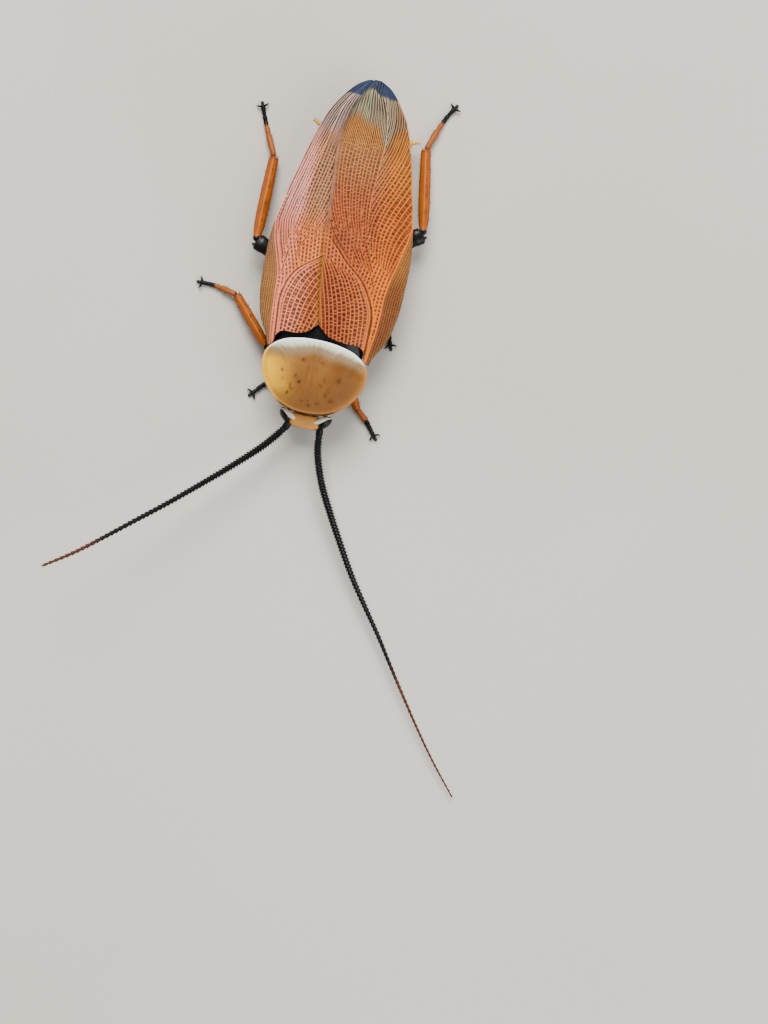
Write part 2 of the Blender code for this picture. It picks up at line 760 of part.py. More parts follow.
def make_eye(name, side):
    """A compound eye: a dome on the side of the head, flat where it meets the head."""
    root = Vector((side * 1.04, -9.66, 1.72))
    sizes = ((0.0, 1.0), (0.2, 1.0), (0.36, 0.82), (0.46, 0.5), (0.5, 0.2))
    rings = []
    for out, share in sizes:
        rings.append([
            root + Vector((
                side * out,
                0.3 * share * math.cos(2 * math.pi * k / 12),
                0.45 * share * math.sin(2 * math.pi * k / 12),
            ))
            for k in range(12)
        ])
    add_part(name, shape_from_rings(rings), "eye")


def make_palp(name, side):
    points = [(side * x, y, z) for x, y, z in PALP]
    stations = ((0.0, 0.15, 0.15), (0.2, 0.22, 0.22), (0.7, 0.22, 0.22), (0.9, 0.24, 0.24), (1.0, 0.1, 0.1))
    add_part(name, limb(points, stations, 6), "amber_leg")


def make_feeler(name, points):
    """A beaded feeler in three lengths, which thins only in the last one."""
    curve = smooth_curve(points)
    length = curve_length(curve)
    for part, (start, end) in (("base", (0.0, 0.3)), ("middle", (0.3, 0.64)), ("tip", (0.64, 1.0))):
        low = start * length + (JOINT_GAP / 2 if start else 0.0)
        high = end * length - (JOINT_GAP / 2 if end < 1.0 else 0.0)
        places = steps_between(low, high, FEELER_PITCH / 2)
        rings = []
        for i, place in enumerate(places):
            radius = FEELER_RADIUS
            if part == "tip":
                radius *= 1.0 - 0.72 * smooth_step((place - low) / (high - low))
            if i % 2 == 0:
                radius *= FEELER_NECK
            along = point_on(curve, place + 0.1) - point_on(curve, max(place - 0.1, 0.0))
            rings.append(
                cross_section(point_on(curve, place), along.normalized(), radius, radius, FEELER_SIDES)
            )
        add_part(f"{name}_{part}", shape_from_rings(rings), "black_shell")


def joint_reach(before, after, end_half, start_half):
    """How far past a joint the next piece starts, so that it clears the end of the one before.

    before and after are the two pieces' directions. A sharply folded joint needs the most room.
    """
    cosine = -before.dot(after)
    sine = max(math.sqrt(max(1.0 - cosine * cosine, 0.0)), 0.5)
    if cosine < 0.0:
        return JOINT_GAP + start_half * sine
    return (JOINT_GAP + start_half + end_half * cosine) / sine


def piece_start(before, joint, after, end_half, start_half):
    """Where the piece after a joint starts."""
    before, joint, after = Vector(before), Vector(joint), Vector(after)
    inward = (joint - before).normalized()
    start = joint
    for _ in range(4):
        outward = (after - start).normalized()
        start = joint + inward * joint_reach(inward, outward, end_half, start_half)
    return start


def tibia_spines(start, end, radius, pair, seed):
    """Spines in turn on the two sides of a tibia, which lean towards the foot."""
    count, first, last = TIBIA_SPINES[pair]
    draw = random.Random(seed)
    along = (end - start).normalized()
    side = along.cross(UP).normalized()
    length = (end - start).length
    spines = []
    for k in range(count):
        flank = side if k % 2 else -side
        share = first + (last - first) * k / (count - 1)
        lean = draw.uniform(0.75, 0.95)
        out = (flank + along * lean + UP * draw.uniform(-0.5, 0.1)).normalized()
        root = start + along * (share * length) + flank * (radius * 0.45)
        reach = SPINE_LENGTH * draw.uniform(0.85, 1.1)
        sizes = ((0.0, SPINE_RADIUS), (0.45, SPINE_RADIUS * 0.75), (1.0, 0.02))
        point = root + out * (radius * 0.5 + reach)
        spines.append(limb((root, point), [(place, size, size) for place, size in sizes], 4))
    return spines


def foot_claws(instep, toe):
    """The pair of hooked claws at the end of a foot."""
    along = Vector((toe.x - instep.x, toe.y - instep.y, 0.0)).normalized()
    side = along.cross(UP).normalized()
    claws = []
    for turn in (1.0, -1.0):
        out = (along * 0.75 + side * turn * 0.66).normalized()
        root = toe - along * 0.1 + side * (turn * 0.06)
        bend = root + out * (CLAW_LENGTH * 0.55) + UP * 0.04
        point = root + out * CLAW_LENGTH - UP * 0.12
        sizes = ((0.0, CLAW_RADIUS), (0.5, CLAW_RADIUS * 0.8), (1.0, 0.03))
        claws.append(limb((root, bend, point), [(place, size, size) for place, size in sizes], 5))
    return claws


def tarsus_stations(radius):
    """Sizes along a foot of five segments, each a little wider at its end.

    The thin places are still wide enough for the floor to flatten them too.
    """
    sizes = [(0.0, radius * 0.7)]
    place = 0.0
    for share in TARSOMERES:
        if place:
            sizes.append((place + 0.015, radius * 0.84))
        sizes.append((place + share * 0.85, radius))
        place += share
    sizes.append((1.0, radius * 0.62))
    return [(place, size, size) for place, size in sizes]


def make_leg(name, leg):
    pair = name.split("_")[0]
    wide, high = COXA_SIZE[pair]
    neck = 0.18
    add_part(f"coxa_{name}", limb(
        (leg.root, leg.hip),
        ((0.0, wide * 0.7, high * 0.8), (0.15, wide, high), (0.6, wide * 0.9, high),
         (0.88, 0.26, 0.25), (1.0, neck, neck)),
        LEG_SIDES,
    ), "belly")
    wide, high = FEMUR_SIZE[pair]
    start = piece_start(leg.root, leg.hip, leg.knee, 0.25, 0.25)
    add_part(f"femur_{name}", limb(
        (start, leg.knee),
        ((0.0, neck, neck), (0.1, 0.25, 0.23), (0.35, wide, high), (0.72, wide * 0.88, high),
         (0.9, wide * 0.92, high), (1.0, wide * 0.5, high * 0.6)),
        LEG_SIDES,
    ), "black_shell")
    radius = TIBIA_RADIUS[pair]
    start = piece_start(leg.hip, leg.knee, leg.ankle, wide * 0.7, radius)
    add_part(f"tibia_{name}", limb(
        (start, leg.ankle),
        ((0.0, neck, neck), (0.07, radius * 0.95, radius * 0.95), (0.5, radius, radius),
         (0.95, radius, radius), (1.0, radius * 0.8, radius * 0.8)),
        LEG_SIDES,
    ), "amber_leg", tibia_spines(start, Vector(leg.ankle), radius, pair, name))
    radius = TARSUS_RADIUS
    start = piece_start(leg.knee, leg.ankle, leg.instep, radius, radius)
    add_part(f"tarsus_{name}", limb(
        (start, leg.instep, leg.toe), tarsus_stations(radius), LEG_SIDES
    ), "black_shell", foot_claws(Vector(leg.instep), Vector(leg.toe)))


def stand_on_origin():
    """Hangs every part from one empty, with the origin on the floor under the middle of the box."""
    bpy.context.view_layer.update()
    parts = [obj for obj in bpy.context.scene.objects if obj.type == "MESH"]
    corners = [obj.matrix_world @ Vector(corner) for obj in parts for corner in obj.bound_box]
    low = [min(corner[axis] for corner in corners) for axis in range(3)]
    high = [max(corner[axis] for corner in corners) for axis in range(3)]
    stand = bpy.data.objects.new("cockroach", None)
    bpy.context.scene.collection.objects.link(stand)
    stand.location = (-(low[0] + high[0]) / 2.0, -(low[1] + high[1]) / 2.0, -low[2])
    for obj in parts:
        obj.parent = stand


def build():
    clear_scene()
    make_head()
    for side_name, side in (("left", 1.0), ("right", -1.0)):
        make_eye(f"eye_{side_name}", side)
        make_palp(f"palp_{side_name}", side)
        make_fore_wing(f"fore_wing_{side_name}", side)
        make_hind_wing(f"hind_wing_{side_name}", side)
        make_cercus(f"cercus_{side_name}", side)
    make_feeler("antenna_left", FEELER_LEFT)
    make_feeler("antenna_right", FEELER_RIGHT)
    make_pronotum()
    make_mesonotum()
    make_thorax()
    make_abdomen()
    for name, leg in LEGS.items():
        make_leg(name, leg)
    stand_on_origin()


build()
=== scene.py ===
"""Looks of the bush cockroach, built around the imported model.

Places are written in the body's own millimetres: the head points to -Y, the animal's left
side is at +X, the floor is Z = 0, and X and Y are 0 in the middle of the body. ORIGIN moves
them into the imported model's frame.
"""

import math
from collections import namedtuple

import bpy
import numpy as np
from mathutils import Matrix, Vector


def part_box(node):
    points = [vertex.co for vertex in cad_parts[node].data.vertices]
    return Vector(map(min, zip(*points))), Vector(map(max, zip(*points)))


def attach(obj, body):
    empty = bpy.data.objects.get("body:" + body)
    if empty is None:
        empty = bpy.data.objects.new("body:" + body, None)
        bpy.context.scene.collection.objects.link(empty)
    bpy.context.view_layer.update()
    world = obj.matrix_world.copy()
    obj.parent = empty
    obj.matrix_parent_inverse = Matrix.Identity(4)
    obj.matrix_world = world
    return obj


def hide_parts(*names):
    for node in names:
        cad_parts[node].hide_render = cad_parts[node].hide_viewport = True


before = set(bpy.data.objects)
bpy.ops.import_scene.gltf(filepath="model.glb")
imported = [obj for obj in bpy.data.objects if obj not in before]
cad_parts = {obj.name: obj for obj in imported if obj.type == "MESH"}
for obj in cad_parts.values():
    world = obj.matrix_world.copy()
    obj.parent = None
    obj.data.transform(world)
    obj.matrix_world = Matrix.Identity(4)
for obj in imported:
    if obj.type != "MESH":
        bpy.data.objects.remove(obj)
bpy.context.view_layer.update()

MM = 0.001
SHIELD_FRONT_Y = -9.43
shield_low, shield_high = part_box("pronotum")
ORIGIN = np.array([(shield_low.x + shield_high.x) / 2.0, shield_low.y - SHIELD_FRONT_Y * MM, 0.0])
UP = np.array([0.0, 0.0, 1.0])


# Small tools

def smooth_step(t):
    t = np.clip(t, 0.0, 1.0)
    return t * t * (3.0 - 2.0 * t)


def ramp(value, start, width):
    """0 up to start, then smoothly up to 1 over the width."""
    return smooth_step((value - start) / width)


def hump(value, centre, spread):
    """1 at the centre, falling softly to 0 on both sides."""
    return np.exp(-((value - centre) / spread) ** 2)


def mixed(base, other, share):
    """Blends colours by a share or by an array of shares."""
    base = np.asarray(base, float)
    return base + (other - base) * np.asarray(share)[..., None]


def profile(stations, at):
    """Smooth values at places between (place, value) stations."""
    place, value = np.array(stations, float).T
    slope = np.gradient(value, place)
    at = np.clip(np.asarray(at, float), place[0], place[-1])
    i = np.clip(np.searchsorted(place, at, side="right") - 1, 0, len(place) - 2)
    span = place[i + 1] - place[i]
    t = (at - place[i]) / span
    rise = value[i + 1] - value[i]
    bend_0 = slope[i] * span - rise
    bend_1 = rise - slope[i + 1] * span
    return value[i] + rise * t + t * (1.0 - t) * ((1.0 - t) * bend_0 + t * bend_1)


def hash_noise(i, j):
    """A repeatable pseudo random number from 0 to 1 at each whole place."""
    value = np.sin(i * 12.9898 + j * 78.233 + 37.719) * 43758.5453
    return value - np.floor(value)


def soft_noise(x, y):
    """Smooth noise from 0 to 1 over the plane, one wave per unit."""
    i, j = np.floor(x), np.floor(y)
    fx, fy = smooth_step(x - i), smooth_step(y - j)
    low = hash_noise(i, j) * (1 - fx) + hash_noise(i + 1, j) * fx
    high = hash_noise(i, j + 1) * (1 - fx) + hash_noise(i + 1, j + 1) * fx
    return low * (1 - fy) + high * fy


def srgb(red, green, blue):
    """Linear colour from the 0 to 255 numbers of a picture."""
    share = np.array([red, green, blue], float) / 255.0
    return np.where(share <= 0.04045, share / 12.92, ((share + 0.055) / 1.055) ** 2.4)


def make_piece(name, shape, material, nodes=(), attributes=None):
    """A piece from points in body millimetres. It rides on the root and stands for the named nodes."""
    mesh = bpy.data.meshes.new(name)
    coords = np.asarray(shape.points, float) * MM + ORIGIN
    mesh.from_pydata(coords.tolist(), [], [list(map(int, face)) for face in shape.faces])
    values = dict(attributes or {})
    if shape.paint is not None:
        values["paint"] = shape.paint
    for key, value in values.items():
        value = np.asarray(value, np.float32)
        if value.ndim == 1:
            mesh.attributes.new(key, "FLOAT", "POINT").data.foreach_set("value", value)
        else:
            colours = np.ones((len(value), 4), np.float32)
            colours[:, :3] = value
            mesh.attributes.new(key, "FLOAT_COLOR", "POINT").data.foreach_set("color", colours.ravel())
    mesh.shade_smooth()
    mesh.materials.append(material)
    piece = bpy.data.objects.new(name, mesh)
    bpy.context.scene.collection.objects.link(piece)
    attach(piece, "root")
    if nodes:
        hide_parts(*nodes)
    return piece


def grid_faces(rows, columns, first=0, flip=False):
    """Quads of a grid of points numbered row by row."""
    index = first + np.arange(rows * columns).reshape(rows, columns)
    quads = np.stack(
        [index[:-1, :-1], index[:-1, 1:], index[1:, 1:], index[1:, :-1]], axis=-1
    ).reshape(-1, 4)
    return quads[:, ::-1] if flip else quads


def border_of(rows, columns, first=0):
    """The grid's outer points in order round it."""
    index = first + np.arange(rows * columns).reshape(rows, columns)
    return np.concatenate([index[0, :-1], index[:-1, -1], index[-1, :0:-1], index[:0:-1, 0]])


def closed_sheet(top, under, step):
    """Points and faces of a sheet. The under grid has one point for every step points of the top one."""
    rows, columns = top.shape[:2]
    rows_under, columns_under = under.shape[:2]
    points = np.concatenate([top.reshape(-1, 3), under.reshape(-1, 3)])
    first = rows * columns
    faces = grid_faces(rows, columns).tolist() + grid_faces(
        rows_under, columns_under, first, True
    ).tolist()
    fine, coarse = border_of(rows, columns), border_of(rows_under, columns_under, first)
    count = len(coarse)
    for k in range(count):
        near, far = int(coarse[k]), int(coarse[(k + 1) % count])
        run = [int(fine[(k * step + m) % len(fine)]) for m in range(step + 1)]
        half = step // 2
        if half:
            faces.append([*run[:half + 1][::-1], near])
        faces.append([*run[half:][::-1], near, far])
    return points, faces


# Shapes as arrays

Shape = namedtuple("Shape", "points faces paint")


def joined(shapes):
    """Several shapes as one, still as separate closed bodies."""
    points, faces, paint = [], [], []
    first = 0
    for shape in shapes:
        points.append(shape.points)
        paint.append(shape.paint)
        faces.extend([[first + int(i) for i in face] for face in shape.faces])
        first += len(shape.points)
    return Shape(np.concatenate(points), faces, np.concatenate(paint))


class Path:
    """A smooth route through points, read by the distance along it."""

    def __init__(self, points, per_span=12):
        points = np.asarray(points, float)
        knots = np.concatenate([2 * points[:1] - points[1:2], points, 2 * points[-1:] - points[-2:-1]])
        curve = []
        for before, start, end, after in zip(knots, knots[1:], knots[2:], knots[3:]):
            for t in np.linspace(0.0, 1.0, per_span, endpoint=False):
                bend = 2 * before - 5 * start + 4 * end - after
                twist = 3 * start - before - 3 * end + after
                curve.append(0.5 * (2 * start + (end - before) * t + bend * t ** 2 + twist * t ** 3))
        curve.append(points[-1])
        self.curve = np.array(curve)
        steps = np.linalg.norm(np.diff(self.curve, axis=0), axis=1)
        self.travelled = np.concatenate([[0.0], np.cumsum(steps)])
        self.length = self.travelled[-1]

    def at(self, distance):
        return np.stack(
            [np.interp(distance, self.travelled, self.curve[:, k]) for k in range(3)], axis=-1
        )

    def direction(self, distance, span=0.06):
        distance = np.asarray(distance, float)
        ahead = self.at(distance + span) - self.at(distance - span)
        return ahead / np.linalg.norm(ahead, axis=-1, keepdims=True)


def circle(count, shift=0.0):
    """Angles of evenly spaced places round a circle."""
    return 2.0 * math.pi * (np.arange(count) + shift) / count


def unit(vectors):
    vectors = np.asarray(vectors, float)
    return vectors / np.linalg.norm(vectors, axis=-1, keepdims=True)


def frames(along, up=UP):
    """The sideways and upward directions across each direction."""
    side = unit(np.cross(along, up))
    return side, np.cross(side, along)


def rings_shape(rings, paint):
    """A closed shape from rings of points of one size, closed by a point at each end.

    The paint is one colour, one for each ring or one for each point.
    """
    rings = np.asarray(rings, float)
    count, sides = rings.shape[:2]
    ends = np.stack([rings[0].mean(axis=0), rings[-1].mean(axis=0)])
    points = np.concatenate([rings.reshape(-1, 3), ends])
    index = np.arange(count * sides).reshape(count, sides)
    after = np.roll(index, -1, axis=1)
    quads = np.stack([index[:-1], index[1:], after[1:], after[:-1]], axis=-1).reshape(-1, 4).tolist()
    low, high = count * sides, count * sides + 1
    quads += [[low, int(a), int(b)] for a, b in zip(index[0], after[0])]
    quads += [[high, int(b), int(a)] for a, b in zip(index[-1], after[-1])]
    paint = np.asarray(paint, float)
    if paint.ndim == 2:
        paint = paint[:, None]
    paint = np.broadcast_to(paint, (count, sides, 3))
    paint = np.concatenate([paint.reshape(-1, 3), paint[[0, -1]].mean(axis=1)])
    return Shape(points, quads, paint)


def tube(
    path, places, widths, heights, paint, sides=24, squareness=2.0, up=UP, floor=None, relief=None
):
    """Rings round a path at distances along it. relief(angle, place share) swells them."""
    places = np.asarray(places, float)
    centres, along = path.at(places), path.direction(places)
    side, lift = frames(along, up)
    angle = circle(sides, 0.5)
    power = 2.0 / squareness
    across = np.sign(np.cos(angle)) * np.abs(np.cos(angle)) ** power
    rise = np.sign(np.sin(angle)) * np.abs(np.sin(angle)) ** power
    widths = np.broadcast_to(np.asarray(widths, float), places.shape)[:, None]
    heights = np.broadcast_to(np.asarray(heights, float), places.shape)[:, None]
    swell = 1.0 if relief is None else 1.0 + relief(angle[None, :], (places / path.length)[:, None])
    rings = (
        centres[:, None]
        + side[:, None] * (widths * across * swell)[..., None]
        + lift[:, None] * (heights * rise * swell)[..., None]
    )
    if floor is not None:
        rings[..., 2] = np.maximum(rings[..., 2], floor)
    return rings_shape(rings, paint)


def spikes(roots, tips, radius, colour):
    """Fine tapered hairs or spines from roots to tips, three sided."""
    roots, tips = np.asarray(roots, float), np.asarray(tips, float)
    count = len(roots)
    along = unit(tips - roots)
    helper = np.where(np.abs(along[:, 2:]) > 0.9, [[1.0, 0.0, 0.0]], [[0.0, 0.0, 1.0]])
    side, lift = frames(along, helper)
    radius = np.broadcast_to(np.asarray(radius, float), (count,))[:, None]
    middle = (roots + tips) / 2.0
    rings = []
    for centre, share in ((roots, 1.0), (middle, 0.7)):
        for k in range(3):
            turn = 2.0 * math.pi * k / 3
            rings.append(centre + (side * math.cos(turn) + lift * math.sin(turn)) * radius * share)
    points = np.stack([*rings, tips], axis=1).reshape(-1, 3)
    pattern = [(0, 1, 2), (0, 3, 4, 1), (1, 4, 5, 2), (2, 5, 3, 0), (3, 6, 4), (4, 6, 5), (5, 6, 3)]
    faces = [[7 * i + k for k in face] for i in range(count) for face in pattern]
    return Shape(points, faces, np.tile(colour, (len(points), 1)))


def egg(centre, half_sizes, colour, turn=None, sides=24, rows=14, pull=None):
    """A closed egg shape. pull(unit points) may move its points first."""
    polar = np.linspace(0.0, math.pi, rows + 2)[1:-1]
    angle = circle(sides)
    ball = np.stack([
        np.sin(polar)[:, None] * np.cos(angle), np.sin(polar)[:, None] * np.sin(angle),
        -np.cos(polar)[:, None] * np.ones(sides),
    ], axis=-1)
    if pull:
        ball = pull(ball)
    rings = ball * np.asarray(half_sizes, float)
    if turn is not None:
        rings = rings @ np.asarray(turn, float).T
    rings = rings[:, ::-1] + np.asarray(centre, float)
    return rings_shape(rings, colour)


# Node tools

NOISE_ROUGHNESS = 0.55


class Nodes:
    """A new Principled material and short ways to add nodes to it."""

    def __init__(self, name, roughness=0.4, specular=0.5, coat=0.0, coat_roughness=0.1, subsurface=0.0):
        self.material = bpy.data.materials.new(name)
        self.material.use_nodes = True
        self.tree = self.material.node_tree
        self.shader = self.tree.nodes["Principled BSDF"]
        self.shader.inputs["Roughness"].default_value = roughness
        self.shader.inputs["Specular IOR Level"].default_value = specular
        self.shader.inputs["Coat Weight"].default_value = coat
        self.shader.inputs["Coat Roughness"].default_value = coat_roughness
        if subsurface:
            self.shader.inputs["Subsurface Weight"].default_value = subsurface
            self.shader.inputs["Subsurface Radius"].default_value = (1.0, 0.45, 0.2)
            self.shader.inputs["Subsurface Scale"].default_value = 0.3 * MM

    def add(self, kind, **settings):
        node = self.tree.nodes.new(kind)
        for key, value in settings.items():
            setattr(node, key, value)
        return node

    def link(self, source, target):
        self.tree.links.new(source, target)

    def attribute(self, name):
        return self.add("ShaderNodeAttribute", attribute_name=name)

    def noise(self, scale, detail=3.0):
        """Noise over the piece, with scale in waves per millimetre."""
        place = self.add("ShaderNodeTexCoord").outputs["Object"]
        noise = self.add("ShaderNodeTexNoise")
        noise.inputs["Scale"].default_value = scale / MM
        noise.inputs["Detail"].default_value = detail
        noise.inputs["Roughness"].default_value = NOISE_ROUGHNESS
        self.link(place, noise.inputs["Vector"])
        return noise.outputs["Fac"]

    def spread(self, value, low, high, out_low=0.0, out_high=1.0):
        """Maps the span low..high of a value smoothly to another span."""
        node = self.add("ShaderNodeMapRange", interpolation_type="SMOOTHSTEP")
        self.link(value, node.inputs["Value"])
        for key, number in (
            ("From Min", low), ("From Max", high), ("To Min", out_low), ("To Max", out_high)
        ):
            node.inputs[key].default_value = number
        return node.outputs["Result"]

    def mix(self, factor, first, second, blend="MIX"):
        """Mixes two colours. Each is a socket or a linear colour."""
        node = self.add("ShaderNodeMix", data_type="RGBA", blend_type=blend)
        for key, value in ((0, factor), (6, first), (7, second)):
            if isinstance(value, bpy.types.NodeSocket):
                self.link(value, node.inputs[key])
            elif key:
                node.inputs[key].default_value = (*value, 1.0)
            else:
                node.inputs[key].default_value = value
        return node.outputs[2]

    def colour(self, socket):
        self.link(socket, self.shader.inputs["Base Color"])

    def roughness(self, socket):
        self.link(socket, self.shader.inputs["Roughness"])

    def bump(self, height, distance, strength=1.0):
        """Relief in millimetres from a height from 0 to 1."""
        node = self.add("ShaderNodeBump")
        node.inputs["Strength"].default_value = strength
        node.inputs["Distance"].default_value = distance * MM
        self.link(height, node.inputs["Height"])
        self.link(node.outputs["Normal"], self.shader.inputs["Normal"])


# The folded wings' surface

CREST_Z = 4.0
CREST_Y = -1.0
TAIL_SAG = 0.0124
WING_HALF_WIDTH = 4.1
WING_SIDE_DROP = 1.5
WING_TIP_Y = 10.08
WING_OUTLINE = (
    (-6.2, 2.87), (-5.5, 3.12), (-4.5, 3.65), (-3.2, 3.97), (-1.2, WING_HALF_WIDTH),
    (0.6, 4.06), (2.0, 3.85), (4.4, 3.32), (6.0, 2.92), (7.0, 2.62), (8.0, 2.26), (8.5, 1.98),
    (9.0, 1.64), (9.4, 1.32), (9.7, 1.03), (9.88, 0.77), (9.99, 0.52), (WING_TIP_Y, 0.2),
)
SUTURE = (
    (-5.0, -0.18), (-4.4, -0.25), (-3.0, -0.5), (-2.0, -0.65), (-1.0, -0.76), (0.0, -0.87), (1.0, -0.98),
    (2.0, -1.06), (3.0, -1.13), (4.0, -1.22), (5.0, -1.3), (6.0, -1.34), (7.0, -1.26), (8.0, -1.02),
    (8.5, -0.83), (9.0, -0.62), (9.5, -0.36), (WING_TIP_Y, -0.05),
)


def crest_z(y):
    return CREST_Z - TAIL_SAG * (y - CREST_Y) ** 2


def wing_half_width(y):
    return profile(WING_OUTLINE, y)


def wing_z(x, y):
    """Height of the folded wings' upper face."""
    half = np.maximum(wing_half_width(y), 0.6)
    share = np.minimum(np.abs(x) / half, 1.0)
    return crest_z(y) - WING_SIDE_DROP * half / WING_HALF_WIDTH * share ** 3.0


# Vein lines of a fore wing, as (y, distance u from the midline towards the wing's own side).
# The left wing is 1.0 and the right wing is -1.0.
CREST_LINE = {
    1.0: ((-6.2, 2.7), (-4.9, 2.86), (-4.0, 2.98), (-3.0, 3.02), (-2.0, 3.05), (-1.0, 3.2), (0.0, 3.42),
          (1.0, 3.62), (2.0, 3.78), (3.0, 3.9), (10.0, 4.0)),
    -1.0: ((-6.2, 2.8), (-4.5, 2.98), (-3.0, 3.08), (-2.0, 3.14), (-1.0, 3.42), (0.0, 3.76), (1.0, 3.95),
           (2.0, 4.0), (10.0, 4.0)),
}
SEAM = {
    1.0: ((-6.2, 2.66), (-4.5, 2.75), (-3.0, 2.76), (-2.0, 2.62), (-1.0, 2.3), (0.0, 1.85), (1.0, 1.48),
          (2.0, 1.27), (3.0, 1.2), (5.0, 1.24), (6.5, 1.3), (7.5, 1.2), (8.3, 1.0), (9.0, 0.72), (9.6, 0.4),
          (10.0, 0.03)),
    -1.0: ((-6.2, 2.66), (-4.5, 2.85), (-3.0, 2.95), (-2.0, 3.0), (-1.0, 2.98), (0.0, 2.88), (1.0, 2.72),
           (3.0, 2.45), (5.0, 2.12), (7.0, 1.78), (8.0, 1.55), (9.0, 1.1), (9.6, 0.6), (10.0, 0.04)),
}
FURROW = {
    1.0: ((-6.2, 2.55), (-4.4, 2.62), (-3.0, 2.5), (-2.1, 2.05), (-1.4, 1.5), (-1.0, 1.0), (-0.6, 0.5),
          (-0.1, 0.05), (0.6, -0.7), (1.5, -1.35), (2.5, -1.9), (4.0, -2.45), (6.0, -2.7), (8.0, -2.2),
          (9.3, -1.3), (10.0, -0.1)),
    -1.0: ((-6.2, 2.55), (-4.3, 2.7), (-3.4, 2.75), (-2.7, 2.64), (-2.1, 2.43), (-1.5, 2.0), (-1.1, 1.5),
           (-0.7, 0.95), (-0.3, 0.5), (0.6, -0.5), (1.5, -1.25), (2.5, -1.85), (4.0, -2.45), (6.0, -2.7),
           (8.0, -2.2), (9.3, -1.3), (10.0, -0.1)),
}
# How many veins each field has, and how far apart they are, in mm.
CLAVAL_VEINS = 13
CLAVAL_LEAN = {1.0: 0.1, -1.0: 0.42}
MEDIAN_VEINS = {1.0: 19, -1.0: 25}
FAN_PITCH = 0.062
FAN_START = 1.2
RIDGE_PITCH = 0.15
BAND_PITCH = 0.13
LATTICE_PITCH = 0.21
LATTICE_STEP = 0.23
LATTICE_HALF_WIDTH = 0.042
BAND_STEP = 0.17
SHORTEST_CELL, LONGEST_CELL = 0.15, 0.29
CELLS_PER_LANE = 140
WING_LAP = 0.6
STRIPE_PITCH = 0.16
MARGIN = 0.03
Y_TABLE = np.linspace(-6.2, 10.0, 811)


def crest_line(side, y):
    """Where the side of the wing turns down: the flat costal band lies beyond it."""
    return np.minimum(profile(CREST_LINE[side], y), wing_half_width(y) - MARGIN)


def branched(ideal, widths, needs, rng):
    """Vein places where the finer veins leave a coarser neighbour only where there is room for them.

    needs are the widths from which every fourth, every second and every vein is there.
    """
    places = ideal.copy()
    count = ideal.shape[1]
    for step, need in zip((4, 2, 1), needs):
        for i in range(step, count, 2 * step):
            room = widths - need * rng.uniform(0.85, 1.15)
            opened = smooth_step(room / (0.4 * need) + 0.5)
            places[:, i] = places[:, i - step] + (ideal[:, i] - places[:, i - step]) * opened
    return places


def costal_veins(side, seam, crest):
    """The outer family: on the left wing it fans out to the edge, on the right one it follows the edge."""
    if side < 0:
        inward = RIDGE_PITCH * np.arange(12, 0, -1)
        return np.maximum(crest[:, None] - inward, seam[:, None])
    drift = 0.04 + 0.09 * ramp(Y_TABLE, 0.5, 3.0)
    growth = np.concatenate([[0.0], np.cumsum(0.5 * (drift[1:] + drift[:-1]) * np.diff(Y_TABLE))])
    first = math.floor(-math.log(1.0 / FAN_START + 1.0) / FAN_PITCH)
    last = math.floor(growth[-1] / FAN_PITCH)
    numbers = np.arange(last, first - 1, -1)
    share = np.clip(FAN_START * (np.exp(growth[:, None] - numbers * FAN_PITCH) - 1.0), 0.0, 1.0)
    fan = seam[:, None] + (crest - seam)[:, None] * share
    return np.where(fan > seam[:, None] + 0.05, fan, seam[:, None])


def vein_table(side):
    """Places u of all lengthwise veins at each y of the table, from the inner edge outwards."""
    rng = np.random.default_rng(11 if side > 0 else 12)
    y = Y_TABLE
    suture, furrow, seam = profile(SUTURE, y), profile(FURROW[side], y), profile(SEAM[side], y)
    crest = np.maximum(crest_line(side, y), seam)
    inner = np.minimum(suture - CLAVAL_LEAN[side] * (y + 5.0), furrow - 0.4)
    claval = inner[:, None] + (furrow - inner)[:, None] * np.linspace(0.0, 1.0, CLAVAL_VEINS + 1)
    median = furrow[:, None] + (seam - furrow)[:, None] * np.linspace(0.0, 1.0, MEDIAN_VEINS[side] + 1)
    median = branched(median, seam - furrow, (0.4, 0.9, 2.0), rng)
    costal = costal_veins(side, seam, crest)
    table = np.concatenate([claval, median[:, 1:], costal, crest[:, None]], axis=1)
    wander = np.stack(
        [soft_noise(y * 0.9, np.full_like(y, 7.3 * k)) for k in range(table.shape[1])], axis=1
    )
    table = table + (wander - 0.5) * 0.05
    return np.maximum.accumulate(table, axis=1)


VeinField = namedtuple("VeinField", "lengthwise middle width cross cross_strength shade number")


